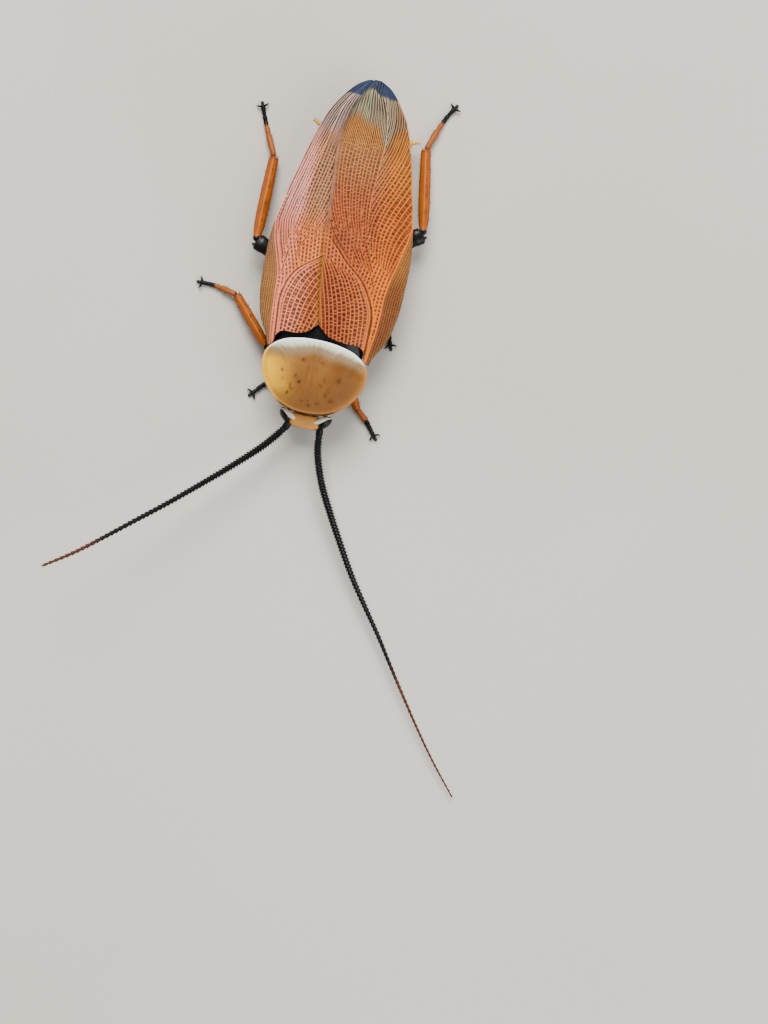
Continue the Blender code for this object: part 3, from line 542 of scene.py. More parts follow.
def vein_field(side, u, y):
    """Distances in mm to the nearest veins, with the cell's width, tone and number from the furrow."""
    table = vein_table(side)
    slope = np.gradient(table, Y_TABLE, axis=0)
    step = Y_TABLE[1] - Y_TABLE[0]
    at = np.clip((y - Y_TABLE[0]) / step, 0.0, len(Y_TABLE) - 1.001)
    row = at.astype(int)
    part = (at - row)[:, None]
    places = table[row] * (1 - part) + table[row + 1] * part
    number = np.clip((places <= u[:, None]).sum(axis=1), 1, table.shape[1] - 1)
    picked = np.arange(len(u))
    low, high = places[picked, number - 1], places[picked, number]
    lean_low, lean_high = slope[row, number - 1], slope[row, number]
    to_low = np.abs(u - low) / np.sqrt(1.0 + lean_low ** 2)
    to_high = np.abs(high - u) / np.sqrt(1.0 + lean_high ** 2)
    centre_slope = 0.5 * (slope[:, 1:] + slope[:, :-1])
    run = np.sqrt(1.0 + centre_slope ** 2)
    travelled = np.cumsum(run * step, axis=0)
    lean = centre_slope[row, number - 1]
    off_centre = (u - 0.5 * (low + high)) / np.sqrt(1.0 + lean ** 2)
    along = travelled[row, number - 1] + lean * off_centre
    cross = np.full(len(u), 1.0)
    strength = np.zeros(len(u))
    cell = np.zeros(len(u))
    rng = np.random.default_rng(5 if side > 0 else 6)
    for k in range(1, table.shape[1]):
        bars = np.cumsum(
            rng.uniform(SHORTEST_CELL, LONGEST_CELL, CELLS_PER_LANE)
        ) - rng.uniform(0.0, 0.2)
        strengths = rng.uniform(0.35, 1.0, CELLS_PER_LANE)
        inside = number == k
        if inside.any():
            place = along[inside]
            after = np.clip(np.searchsorted(bars, place), 1, len(bars) - 1)
            to_before, to_after = place - bars[after - 1], bars[after] - place
            cross[inside] = np.minimum(to_before, to_after)
            strength[inside] = strengths[np.where(to_before < to_after, after - 1, after)]
            cell[inside] = after
    width = (high - low) / np.sqrt(1.0 + lean ** 2)
    cross = np.where(width < 0.07, 1.0, np.abs(cross))
    shade = hash_noise(number.astype(float), cell)
    return VeinField(
        np.minimum(to_low, to_high), np.abs(off_centre), width, cross, strength, shade,
        number - CLAVAL_VEINS
    )


def wing_colours(side, u, y, number, inner_distance, crest_distance):
    """Colours of the cells and of the veins over one fore wing."""
    left = side > 0
    wing = 0 if left else 1
    count = len(u)
    blur = soft_noise(u * 1.3, y * 1.3 + 50.0) * 0.6 + soft_noise(u * 4.0, y * 4.0) * 0.4
    cells, veins = np.zeros((count, 3)), np.zeros((count, 3))

    def lay(share, cell_pair, vein_pair):
        """Blends in picture colours, one for each wing, where share is 1."""
        nonlocal cells, veins
        share = np.broadcast_to(share, (count,))
        cells = mixed(cells, srgb(*cell_pair[wing]), share)
        veins = mixed(veins, srgb(*vein_pair[wing]), share)

    beyond = (number > 0).astype(float)
    lay(1.0, ((80, 29, 15), (88, 42, 23)), ((180, 93, 47), (202, 107, 54)))
    lay((1.0 - beyond) * ramp(u, 0.9, 1.0),
        ((92, 46, 27), (102, 59, 46)), ((202, 107, 51), (247, 138, 100)))
    lay(beyond, ((82, 30, 14), (98, 51, 29)), ((167, 85, 41), (208, 111, 55)))
    outer = beyond * (ramp(u, 1.3, 1.3) if left else ramp(u, 2.0, 0.9))
    lay(outer, ((101, 51, 25), (113, 71, 60)), ((208, 104, 25), (232, 127, 93)))
    late = smooth_step((y - (2.0 if left else 0.3)) / (3.6 if left else 2.4))
    lay(late * (1.0 - outer), ((88, 51, 28), (81, 57, 41)), ((173, 108, 53), (181, 121, 83)))
    lay(late * outer, ((102, 59, 30), (104, 69, 67)), ((209, 121, 27), (247, 166, 147)))
    lay(ramp(y, 5.6, 1.0) * (1.0 - outer),
        ((53, 27, 12), (77, 55, 45)), ((189, 122, 54), (200, 140, 106)))
    lay(ramp(y, 5.6, 1.0) * outer,
        ((88, 53, 28), (91, 68, 67)), ((197, 123, 45), (247, 168, 154)))
    if left:
        blotch = hump(u, 0.0, 0.75) * hump(y, 0.55, 0.75) * beyond
        lay(0.55 * blotch, ((75, 28, 13), None), ((112, 55, 32), None))
    jitter = 0.45 * (hash_noise(number.astype(float), 3.0) - 0.5)
    if left:
        grey_start = (
            7.75 - 0.35 * smooth_step(u / 0.5) - 1.15 * hump(u, 1.3, 0.36) + 0.5 * ramp(u, 1.6, 0.7)
        )
    else:
        grey_start = np.full(count, 6.75)
    grey = smooth_step((y - grey_start + jitter + 0.5 * (blur - 0.5)) / 0.7 + 0.5)
    lay(grey * 0.95, ((26, 22, 17), (56, 50, 47)), ((160, 140, 110), (184, 156, 143)))
    if left:
        lay(grey * ramp(-u, -0.45, 0.6) * 0.9, ((45, 46, 35), None), ((174, 162, 122), None))
        lay(grey * ramp(u, 1.3, 0.5) * 0.8, ((62, 43, 31), None), ((161, 114, 79), None))
    tip_line = 9.12 + 0.4 * hump(u, -0.05, 0.42) if left else np.full(count, 9.02)
    blue = smooth_step((y - tip_line + 0.35 * jitter + 0.2 * (blur - 0.5)) / 0.16 + 0.5)
    lay(blue, ((25, 32, 53), (28, 35, 57)), ((45, 55, 78), (47, 57, 82)))
    stripe = smooth_step(0.5 + 1.4 * np.cos(2.0 * math.pi * u / STRIPE_PITCH))
    stripe = blue * hump(u, 0.28, 0.34) * left * stripe
    lay(stripe, ((9, 11, 21), (9, 11, 21)), ((9, 11, 21), (9, 11, 21)))
    band = smooth_step(-crest_distance / 0.1)
    front = 1.0 - ramp(y, -1.6, 1.2)
    lay(band * 0.95, ((98, 65, 33), (84, 58, 44)), ((152, 97, 43), (168, 114, 78)))
    lay(band * front * 0.95, ((81, 41, 17), (103, 71, 42)), ((126, 75, 41), (173, 115, 60)))
    khaki = band * smooth_step(1.0 - (wing_half_width(y) - u) / 0.3)
    lay(khaki * 0.8, ((95, 65, 37), (98, 70, 44)), ((128, 87, 52), (137, 97, 63)))
    hem = smooth_step(1.15 - inner_distance / 0.26) * (1.0 - blue) * (1.0 - 0.75 * ramp(y, 5.8, 1.4))
    tail = ramp(y, 0.4, 1.6)
    lay(hem * (1.0 - tail) * 0.8, ((130, 75, 33), (128, 75, 36)), ((166, 99, 35), (167, 101, 38)))
    if left:
        lay(hem * tail * (1.0 - 0.8 * grey) * 0.92, ((134, 89, 66), None), ((159, 105, 77), None))
    tone = np.where(blue > 0.5, 0.4 + 1.1 * blur, 0.86 + 0.28 * blur)
    return cells * tone[:, None], veins * (0.9 + 0.2 * blur)[:, None], blue


def fore_wing_material():
    """Dull horny membrane: dark cells between paler veins, from the mesh's own vein network."""
    look = Nodes("wing_membrane", roughness=0.5, specular=0.08)
    vein = look.attribute("vein").outputs["Fac"]
    shade = look.spread(look.attribute("shade").outputs["Fac"], 0.0, 1.0, 0.74, 1.16)
    cells = look.attribute("cell_colour").outputs["Color"]
    cells = look.mix(1.0, cells, shade, "MULTIPLY")
    base = look.mix(vein, cells, look.attribute("vein_colour").outputs["Color"])
    dust = look.spread(look.noise(9.0, 4.0), 0.3, 0.75, 0.9, 1.06)
    look.colour(look.mix(1.0, base, dust, "MULTIPLY"))
    look.roughness(look.spread(look.noise(5.0), 0.3, 0.7, 0.36, 0.5))
    look.bump(look.noise(30.0, 2.0), 0.006, 0.6)
    return look.material


WING_ROWS, WING_COLUMNS, UNDER_STEP = 553, 161, 4
FURROW_COLOUR = {1.0: srgb(81, 38, 22), -1.0: srgb(98, 65, 49)}
# Front edge of each fore wing, as (share of the way across from the inner edge, y).
WING_FRONT = {
    1.0: ((0.0, -4.38), (0.06, -4.62), (0.16, -4.93), (0.26, -5.04), (0.5, -5.13), (0.72, -5.17), (0.8, -5.35),
          (0.88, -5.8), (1.0, -6.0)),
    -1.0: ((0.0, -4.2), (0.18, -4.42), (0.3, -4.82), (0.38, -4.98), (0.5, -5.08), (0.74, -5.15), (0.82, -5.35),
           (0.9, -5.8), (1.0, -6.0)),
}
VEIN_HALF_WIDTH = 0.03
FINE_HALF_WIDTH = 0.019


def off_line(at):
    """How far each place is from the nearest whole number."""
    return np.abs(at - np.round(at))


def vein_line(distance, half_width):
    """1 on a vein's middle, fading to 0 a little beyond its half width."""
    return smooth_step(1.25 - 0.75 * distance / half_width)


def make_fore_wing(name, side, material):
    """One fore wing with its raised net of veins. The left one lies over the right one."""
    left = side > 0
    across = np.linspace(0.0, 1.0, WING_COLUMNS)
    rows = np.linspace(0.0, 1.0, WING_ROWS)[:, None]
    front = profile(WING_FRONT[side], across)
    y = front + (WING_TIP_Y - 0.02 - front) * rows
    visible_inner = side * profile(SUTURE, y)
    lap = np.minimum(wing_half_width(y) - 0.12, WING_LAP) * (1.0 - ramp(y, 9.0, 0.8))
    inner = visible_inner if left else np.maximum(visible_inner - 0.7, -lap)
    inner = np.minimum(inner, wing_half_width(y) - 0.03)
    u = (inner + (wing_half_width(y) - inner) * across).ravel()
    y = y.ravel()
    field = vein_field(side, u, y)
    crest_distance = crest_line(side, y) - u
    inner_distance = u - visible_inner.ravel()
    edge_distance = wing_half_width(y) - u
    beyond = field.number > 0
    cells, veins, blue = wing_colours(side, u, y, field.number, inner_distance, crest_distance)
    fine = np.maximum(ramp(y, 5.4, 0.9), 0.7 * ramp(field.width, 0.27, 0.06))
    fine *= ramp(field.width, 0.14, 0.06)
    half_width = VEIN_HALF_WIDTH - (VEIN_HALF_WIDTH - FINE_HALF_WIDTH) * ramp(y, 5.4, 0.9)
    long_vein = vein_line(field.lengthwise, half_width)
    long_vein = np.maximum(long_vein, vein_line(field.middle, FINE_HALF_WIDTH) * fine)
    fade = 1.0 - 0.9 * ramp(y - 5.0, 0.8 * (u < 1.1), 1.2)
    fade *= 1.0 - (0.35 if left else 0.7) * ramp(u, 2.6, 0.4) * beyond
    if left:
        fade *= 1.0 - 0.5 * smooth_step(1.2 - inner_distance / 0.9) * ~beyond
    cross_vein = vein_line(field.cross, VEIN_HALF_WIDTH * 0.95) * field.cross_strength * fade
    vein = np.maximum(long_vein, cross_vein)
    crowded = (1.0 - ramp(field.width, 0.11, 0.03)) * (1.0 - ramp(y, 3.0, 1.0))
    lane = np.minimum(np.abs(inner_distance), np.abs(crest_distance)) / LATTICE_PITCH
    step = y / LATTICE_STEP + hash_noise(np.floor(lane), 8.0)
    lattice = vein_line(off_line(lane) * LATTICE_PITCH, LATTICE_HALF_WIDTH)
    rungs = 0.4 + 0.6 * hash_noise(np.floor(step + 0.5), np.floor(lane))
    lattice = np.maximum(lattice, vein_line(off_line(step) * LATTICE_STEP, LATTICE_HALF_WIDTH) * rungs)
    vein = vein * (1.0 - crowded) + lattice * crowded
    cells = cells * (1.0 - 0.06 * crowded)[:, None]
    veins = veins * (1.0 + 0.16 * crowded)[:, None]
    band = smooth_step(-crest_distance / 0.1)
    lane = -crest_distance / BAND_PITCH
    band_long = vein_line(off_line(lane) * BAND_PITCH, VEIN_HALF_WIDTH)
    rung = y / BAND_STEP + hash_noise(np.floor(lane), 5.0)
    band_cross = vein_line(off_line(rung) * BAND_STEP, VEIN_HALF_WIDTH) * hash_noise(
        np.floor(rung + 0.5), np.floor(lane)
    )
    vein = vein * (1.0 - band) + np.maximum(band_long, band_cross) * band * 0.8
    hem = smooth_step(1.15 - inner_distance / 0.3) * ramp(y, 0.4, 1.6) * left
    vein = vein * (1.0 - 0.85 * hem)
    crest = vein_line(np.abs(crest_distance), 0.05) * (1.0 - ramp(y, 2.0, 1.0))
    vein = np.maximum(vein, crest * 0.8)
    furrow_distance = np.abs(u - profile(FURROW[side], y)) * 0.75
    near_suture = 1.0 - ramp(y, 0.1, 0.5)
    furrow = vein_line(furrow_distance, 0.03) * near_suture
    beside_furrow = vein_line(np.abs(furrow_distance - 0.095), 0.035) * near_suture
    vein = np.maximum(vein * (1.0 - furrow), beside_furrow * 0.9)
    cells = mixed(cells, FURROW_COLOUR[side], furrow * 0.8)
    if left:
        cells *= 1.0 - 0.35 * (
            hump(u, profile(SEAM[side], y), 0.09) * hump(y, 0.8, 2.2) * beyond
        )[:, None]
    margin = smooth_step(1.0 - edge_distance / 0.1)
    relief = 0.026 * vein * (1.0 - 0.6 * blue) - 0.035 * furrow + 0.02 * margin
    x = side * u
    z = wing_z(x, y) + relief
    if left:
        z += 0.045 * smooth_step(1.0 - inner_distance / 0.9) * ramp(y, -4.6, 0.8)
    else:
        z -= 0.15 * smooth_step(1.0 - (inner_distance + 0.1) / 0.45) + 0.02
        z -= 0.06 * ramp(y, 8.6, 1.2)
    top = np.stack([x, y, z], axis=1).reshape(WING_ROWS, WING_COLUMNS, 3)
    under = top[::UNDER_STEP, ::UNDER_STEP].copy()
    rim = np.minimum(edge_distance / 0.5, 1.0).reshape(
        WING_ROWS, WING_COLUMNS
    )[::UNDER_STEP, ::UNDER_STEP]
    under[..., 2] -= 0.07 + 0.06 * rim
    points, faces = closed_sheet(top, under, UNDER_STEP)
    if not left:
        faces = [face[::-1] for face in faces]

    def everywhere(values):
        grid = np.asarray(values, float).reshape(WING_ROWS, WING_COLUMNS, -1)
        below = grid[::UNDER_STEP, ::UNDER_STEP]
        both = np.concatenate([grid.reshape(-1, grid.shape[2]), below.reshape(-1, grid.shape[2])])
        return both[:, 0] if both.shape[1] == 1 else both

    attributes = {
        "vein": everywhere(vein), "shade": everywhere(np.where(band > 0.5, 0.5, field.shade)),
        "cell_colour": everywhere(cells), "vein_colour": everywhere(veins),
    }
    make_piece(name + "_net", Shape(points, faces, None), material, (name,), attributes)


membrane = fore_wing_material()
make_fore_wing("fore_wing_left", 1.0, membrane)
make_fore_wing("fore_wing_right", -1.0, membrane)


# Materials of the body

def horn_material(
    name, roughness, coat, coat_roughness=0.12, specular=0.45, subsurface=0.0, grain=0.004,
    tone=(0.88, 1.08)
):
    """Horny cuticle: the painted colour with fine dust and dents, under a clear coat."""
    look = Nodes(name, roughness, specular, coat, coat_roughness, subsurface)
    paint = look.attribute("paint").outputs["Color"]
    clouds = look.spread(look.noise(1.7, 4.0), 0.3, 0.7, *tone)
    flecks = look.spread(look.noise(14.0, 3.0), 0.35, 0.7, 0.94, 1.05)
    look.colour(look.mix(1.0, look.mix(1.0, paint, clouds, "MULTIPLY"), flecks, "MULTIPLY"))
    look.roughness(look.spread(look.noise(6.0), 0.3, 0.7, roughness * 0.85, roughness * 1.2))
    look.bump(look.noise(26.0, 3.0), grain, 0.8)
    return look.material


shield_look = horn_material(
    "amber_shield", 0.4, 0.06, 0.15, specular=0.06, subsurface=0.1, grain=0.0025, tone=(0.95, 1.04)
)
black_look = horn_material("black_horn", 0.34, 0.12, 0.12, specular=0.14, grain=0.006)
leg_look = horn_material("amber_horn", 0.45, 0.08, 0.3, specular=0.16, subsurface=0.1, grain=0.005)
belly_look = horn_material("belly_horn", 0.4, 0.25, 0.2, subsurface=0.08, grain=0.006)
face_look = horn_material("face_horn", 0.36, 0.12, 0.15, specular=0.2, subsurface=0.1, grain=0.003)
eye_look = horn_material("dark_eye", 0.25, 0.18, 0.1, specular=0.12, grain=0.001)
smoky_look = horn_material("smoky_membrane", 0.4, 0.2, 0.2, grain=0.004)

STRAW = srgb(219, 153, 17)
BLACK = srgb(9, 8, 10)
# Colour of the painted blue sheen on the mesonotum.
PAINTED_BLUE_SHEEN = srgb(13, 15, 22)
CREAM = srgb(240, 224, 200)
CHESTNUT = srgb(65, 36, 22)
# Colour of the painted shadow on the head under the shield's front edge.
NECK_PAINTED_SHADOW = srgb(38, 16, 9)


# Pronotum

SHIELD_OUTLINE = (
    (0.0, -5.25), (1.3, -5.36), (2.35, -5.72), (2.88, -6.2), (3.03, -6.85), (2.93, -7.45),
    (2.65, -8.02), (2.18, -8.6), (1.5, -9.13), (0.78, -9.37), (0.0, SHIELD_FRONT_Y),
)
SHIELD_HALF_WIDTH = 3.03
SHIELD_CENTRE_Y = -7.2
SHIELD_LEVEL_Y = -6.6
# Marks on the shield: (x, y, half length, half width, turn, strength).
SHIELD_MARKS = (
    (-0.65, -6.5, 0.14, 0.088, 0.4, 0.8), (0.45, -6.5, 0.15, 0.088, -0.3, 0.72),
    (-1.73, -7.27, 0.1, 0.1, 0, 0.87), (1.55, -7.27, 0.15, 0.13, 1.2, 1), (
        -0.9, -7.44, 0.15, 0.062, 1.4, 0.72
    ),
    (0.73, -7.42, 0.15, 0.062, 1.6, 0.58), (-0.67, -7.77, 0.11, 0.1, 0.8, 1),
    (0.59, -7.74, 0.15, 0.075, -0.5, 0.87), (-1.12, -8.02, 0.15, 0.062, 1.3, 0.8),
    (-1.04, -8.2, 0.11, 0.075, 0.2, 0.87), (0.95, -8.22, 0.18, 0.062, 1.9, 0.8),
    (1.08, -8.0, 0.1, 0.062, 1.2, 0.58), (-1.22, -8.46, 0.13, 0.075, 1.2, 0.87),
    (1.29, -8.48, 0.14, 0.11, 0.3, 1), (0.56, -8.74, 0.14, 0.075, 0.2, 0.72),
    (-0.31, -8.77, 0.09, 0.075, 0.5, 0.65), (0.11, -8.93, 0.1, 0.075, 0, 0.87),
    (0.02, -8.7, 0.07, 0.062, 0, 0.58), (-0.46, -8.03, 0.07, 0.062, 0.3, 0.43),
    (0.2, -6.9, 0.23, 0.062, 1.7, 0.36), (-0.25, -7.0, 0.28, 0.062, 1.4, 0.36),
    (-1.62, -7.72, 0.08, 0.062, 0.5, 0.43), (1.72, -7.86, 0.07, 0.062, 0.5, 0.43),
    (2.1, -6.6, 0.25, 0.062, 1.2, 0.43), (-0.3, -7.0, 0.75, 0.05, 1.52, 0.4), (
        0.02, -7.3, 1, 0.045, 1.6, 0.32
    ),
    (-0.12, -6.3, 0.28, 0.05, 1.57, 0.4), (0.2, -6.3, 0.26, 0.045, 1.65, 0.35),
    (-1.15, -8.1, 0.4, 0.05, 2, 0.35), (0.92, -8.05, 0.42, 0.05, 1.1, 0.35),
    (-1.9, -6.45, 0.4, 0.06, 2.3, 0.25), (2.2, -6.7, 0.45, 0.06, 1.15, 0.3), (
        0.45, -7.9, 0.5, 0.04, 1.7, 0.25
    ),
)


def shield_radius(angle):
    """Distance of the outline from the shield's middle. The angle is 0 at the rear."""
    half = np.array(SHIELD_OUTLINE)
    turn = np.arctan2(half[:, 0], half[:, 1] - SHIELD_CENTRE_Y)
    reach = np.hypot(half[:, 0], half[:, 1] - SHIELD_CENTRE_Y)
    turn = np.concatenate([-turn[:0:-1], turn, 2 * math.pi - turn[-2::-1]])
    reach = np.concatenate([reach[:0:-1], reach, reach[-2::-1]])
    return profile(np.stack([turn, reach], axis=1), np.abs(angle))


def shield_z(x, y):
    reach = SHIELD_LEVEL_Y - SHIELD_FRONT_Y
    ahead = np.maximum(SHIELD_LEVEL_Y - y, 0.0) / reach
    side = np.minimum(np.abs(x) / SHIELD_HALF_WIDTH, 1.0)
    return 4.0 - side ** 2.6 - 0.85 * ahead ** 2.2


def shield_paint(x, y, share):
    """Golden brown, lighter and yellow on the right flank and darker on the left as painted light, a whitish
    rear zone that is partly painted sheen, pale clear edges and a painted shadow under the front edge.
    """
    count = len(x)

    def lay(over, share):
        """Blends in a picture colour where share is 1."""
        nonlocal colour
        colour = mixed(colour, srgb(*over), share)

    cloud = soft_noise(x * 1.1 + 9.0, y * 1.1 + 30.0)
    turn = np.arctan2(x, y - SHIELD_CENTRE_Y)
    streak = soft_noise(turn * 26.0, share * 2.5) - 0.5
    colour = srgb(118, 77, 37)
    lay((132, 87, 39), ramp(cloud, 0.3, 0.5) * 0.4)
    # Painted light: lighter and yellow towards the right flank (-X) and darker towards the left flank (+X), as
    # light falls from one side. The yellow flank is partly painted sheen and partly the clear edge's own
    # colour.
    lay((157, 109, 51), ramp(-x, 0.5, 1.3) * 0.9)
    lay((245, 185, 2), ramp(-x - 0.8, 0.3 * (y + 7.6), 2.2))
    lay((106, 64, 23), ramp(x, 0.4, 1.2) * 0.9)
    lay((117, 75, 24), ramp(x, 1.9, 0.8) * 0.8)
    lay((122, 80, 43), ramp(-y, 8.0, 0.8) * 0.75)
    # The greyish white rear zone is partly the pale hind margin and partly a painted sheen of the rear slope.
    # The white band at the very rear edge is the margin itself.
    rear_line = -5.25 - 0.1 * np.abs(x) ** 1.5
    reach = 1.1 + 0.16 * hump(x, -1.75, 0.7) + 0.2 * soft_noise(x * 1.3 + 4.0, x * 0.0)
    behind = (y - rear_line + reach) / reach
    lay((122, 96, 59), smooth_step(behind / 0.5) * 0.8)
    lay((142, 121, 95), ramp(behind, 0.15, 0.5) * (0.8 + 0.3 * streak))
    lay((221, 232, 208), smooth_step((behind - 0.56 + 0.08 * streak) / 0.34) * 0.9)
    white = ramp(share, 0.96, 0.02) * ramp(y, -6.3, 0.5)
    lay((247, 247, 247), white)
    side_edge = 1.0 - ramp(y, -6.3, 0.5)
    glow = ramp(share, 0.86, 0.1) * side_edge
    lay((155, 101, 39), glow * 0.4)
    # The pale rim is the shield's clear edge. It is painted brighter on the right flank (-X) as painted light.
    rim = ramp(share, 0.965, 0.02) * side_edge * (1.0 - 0.6 * ramp(-y, 8.7, 0.4))
    rim_colour = mixed(srgb(173, 116, 66), srgb(247, 189, 84), ramp(-x, -0.8, 1.6))
    colour = colour + (rim_colour - colour) * (rim * 0.9)[:, None]
    # A painted shadow: a thin dark line on the rolled rim under the shield's front edge.
    front_edge_shadow = ramp(share, 0.985, 0.008) * ramp(-y, 8.9, 0.25)
    lay((58, 32, 19), front_edge_shadow * 0.9)
    dark = np.zeros(count)
    for mark_x, mark_y, long, wide, turn, strength in SHIELD_MARKS:
        dx, dy = x - mark_x, y - mark_y
        along = dx * math.cos(turn) + dy * math.sin(turn)
        across = dy * math.cos(turn) - dx * math.sin(turn)
        dark = np.maximum(dark, np.exp(-(along / long) ** 2 - (across / wide) ** 2) * strength)
    lay((68, 38, 16), dark * (0.6 + 0.55 * soft_noise(x * 9.0, y * 9.0)))
    return colour * (1.0 + 0.1 * streak * ramp(share, 0.25, 0.3))[:, None]


def make_pronotum():
    columns, rows = 288, 110
    angle = circle(columns) - math.pi
    reach = shield_radius(angle)
    share = np.linspace(0.0, 1.0, rows + 1)[1:] ** 0.8
    rim_angle = np.linspace(0.0, math.pi, 9)[1:-1]
    edge = 0.05
    out_share = np.concatenate([share, 1.0 + 0.0 * rim_angle, np.linspace(1.0, 0.06, 26)])
    rise = np.concatenate([np.zeros(rows), edge * (np.cos(rim_angle) - 1.0), np.full(26, -2.0 * edge)])
    outwards = np.concatenate([np.zeros(rows), edge * np.sin(rim_angle), np.zeros(26)])
    depth = np.concatenate([np.zeros(rows + 7), 0.2 * smooth_step(np.linspace(0.0, 1.0, 26) * 2.0)])
    radius = out_share[:, None] * (reach - edge) + outwards[:, None]
    x = radius * np.sin(angle)
    y = SHIELD_CENTRE_Y + radius * np.cos(angle)
    z = shield_z(x, y) + rise[:, None] - depth[:, None]
    seen = np.minimum(out_share, 1.0)[:, None] * np.ones(columns)
    bead = hump(seen, 0.975, 0.018) * ramp(-y, 5.9, 0.6) * (depth[:, None] == 0.0)
    z = z + 0.035 * bead
    dent = np.exp(-((x * x * 0.5 + (y + 6.6) ** 2 * 1.6))) * 0.03 + 0.012 * soft_noise(x * 1.7, y * 1.7)
    z = z - dent * (depth[:, None] == 0.0) * (1.0 - seen ** 6)
    points = np.stack([x, y, z], axis=-1)
    paint = shield_paint(x.ravel(), y.ravel(), seen.ravel()).reshape(*x.shape, 3)
    below = depth > 0.0
    paint[below] = srgb(157, 109, 45)
    shape = rings_shape(points[:, ::-1], paint[:, ::-1])
    make_piece("pronotum_shield", shape, shield_look, ("pronotum",))


# Mesonotum and scutellum

def make_mesonotum():
    columns, rows = 161, 41
    across = np.linspace(-1.0, 1.0, columns)[:, None]
    rows_at = np.linspace(0.0, 1.0, rows)[None, :]
    x = 2.62 * across - 0.08
    front = -5.86 + 0.0 * x
    corner = ramp(np.abs(across), 0.93, 0.07)
    bay = np.abs(x + 0.15)
    rear = np.where(
        bay < 0.95, -4.94 + 0.6 * np.clip(1.0 - bay / 0.95, 0.0, 1.0) ** 1.25,
        -4.94 - 0.02 * (bay - 0.95)
    )
    rear = rear - 0.28 * corner
    front = front + 0.22 * corner
    y = front + (rear - front) * rows_at
    under_wing = wing_z(x, y) - 0.38
    crown = 0.06 * np.cos(np.minimum(bay / 0.95, 1.0) * math.pi / 2) * ramp(y, -5.6, 0.4)
    edge = np.minimum(
        np.minimum(rows_at, 1.0 - rows_at) * 1.1, np.minimum(1.0 + across, 1.0 - across) * 2.5
    )
    roll = 0.07 * (1.0 - smooth_step(edge / 0.06))
    z = under_wing + crown - roll + 0.006 * soft_noise(x * 5.0, y * 5.0)
    top = np.stack([x + 0.0 * y, y, z], axis=-1)
    under = top.copy()
    under[..., 2] -= 0.22 - roll
    points, faces = closed_sheet(top, under, 1)
    faces = [face[::-1] for face in faces]
    # Painted sheen: bluish patches over the black plate stand for its blue gloss.
    sheen = ramp(soft_noise(points[:, 0] * 1.3, points[:, 1] * 3.0), 0.3, 0.5)
    paint = mixed(BLACK, PAINTED_BLUE_SHEEN, sheen)
    make_piece(
        "mesonotum_plate", Shape(points, faces, paint), black_look, ("mesonotum",)
    )


# Head

HEAD_CROWN = np.array([0.0, -9.9, 2.12])
HEAD_MOUTH = np.array([0.0, -9.2, 0.62])
HEAD_DOWN = unit(HEAD_MOUTH - HEAD_CROWN)
HEAD_ACROSS = np.array([1.0, 0.0, 0.0])
HEAD_FACE = np.cross(HEAD_DOWN, HEAD_ACROSS)
HEAD_LENGTH = np.linalg.norm(HEAD_MOUTH - HEAD_CROWN)
# Half width and half depth of the head at shares of its height, from the crown to the clypeus.
HEAD_SIZES = (
    (0.0, 0.3, 0.14), (0.02, 0.62, 0.27), (0.06, 0.78, 0.37), (0.14, 0.86, 0.43), (0.28, 0.9, 0.46),
    (0.42, 0.86, 0.44), (0.55, 0.76, 0.4), (0.68, 0.64, 0.35), (0.8, 0.52, 0.28), (0.9, 0.42, 0.2),
    (0.94, 0.3, 0.12),
)
SCAPE_ROOT = (0.8, 0.22)
LOBE_TURN = 0.42
NECK_ROUTE = ((0.0, -9.6, 1.55), (0.0, -9.2, 1.85), (0.0, -8.6, 2.1))


def on_face(across, down, out=0.0):
    """A place on the front of the head: across from the middle, a share down it, and out from it, in mm."""
    half_width = profile([row[:2] for row in HEAD_SIZES], down)
    half_depth = profile([row[::2] for row in HEAD_SIZES], down)
    bulge = np.sqrt(np.maximum(1.0 - (np.abs(across) / half_width) ** 2.4, 0.0))
    place = HEAD_CROWN + HEAD_DOWN * np.asarray(down * HEAD_LENGTH)[..., None]
    return place + HEAD_ACROSS * np.asarray(across)[..., None] + HEAD_FACE * (
        half_depth * bulge + out
    )[..., None]


def head_paint(down, front):
    """Pale amber crown, a tan face and a paler clypeus, with a painted shadow line under the crown's front
    edge.
    """
    colour = srgb(207, 143, 69)
    low = ramp(down, 0.3, 0.35)
    colour = mixed(colour, srgb(135, 83, 37), low * 0.8)
    bar = hump(down, 0.33, 0.1) * front
    colour = mixed(colour, srgb(101, 57, 28), bar * 0.45)
    clypeus = ramp(down, 0.66, 0.04) * front
    colour = mixed(colour, srgb(196, 138, 47), clypeus * 0.8)
    seam = hump(down, 0.655, 0.012) * front
    colour = mixed(colour, srgb(80, 45, 24), seam * 0.7)
    # A painted shadow: a dark line on the face just under the crown's front edge.
    edge = hump(down, 0.085, 0.035) * np.maximum(front, 0.0)
    return mixed(colour, srgb(70, 41, 23), edge * 0.85)


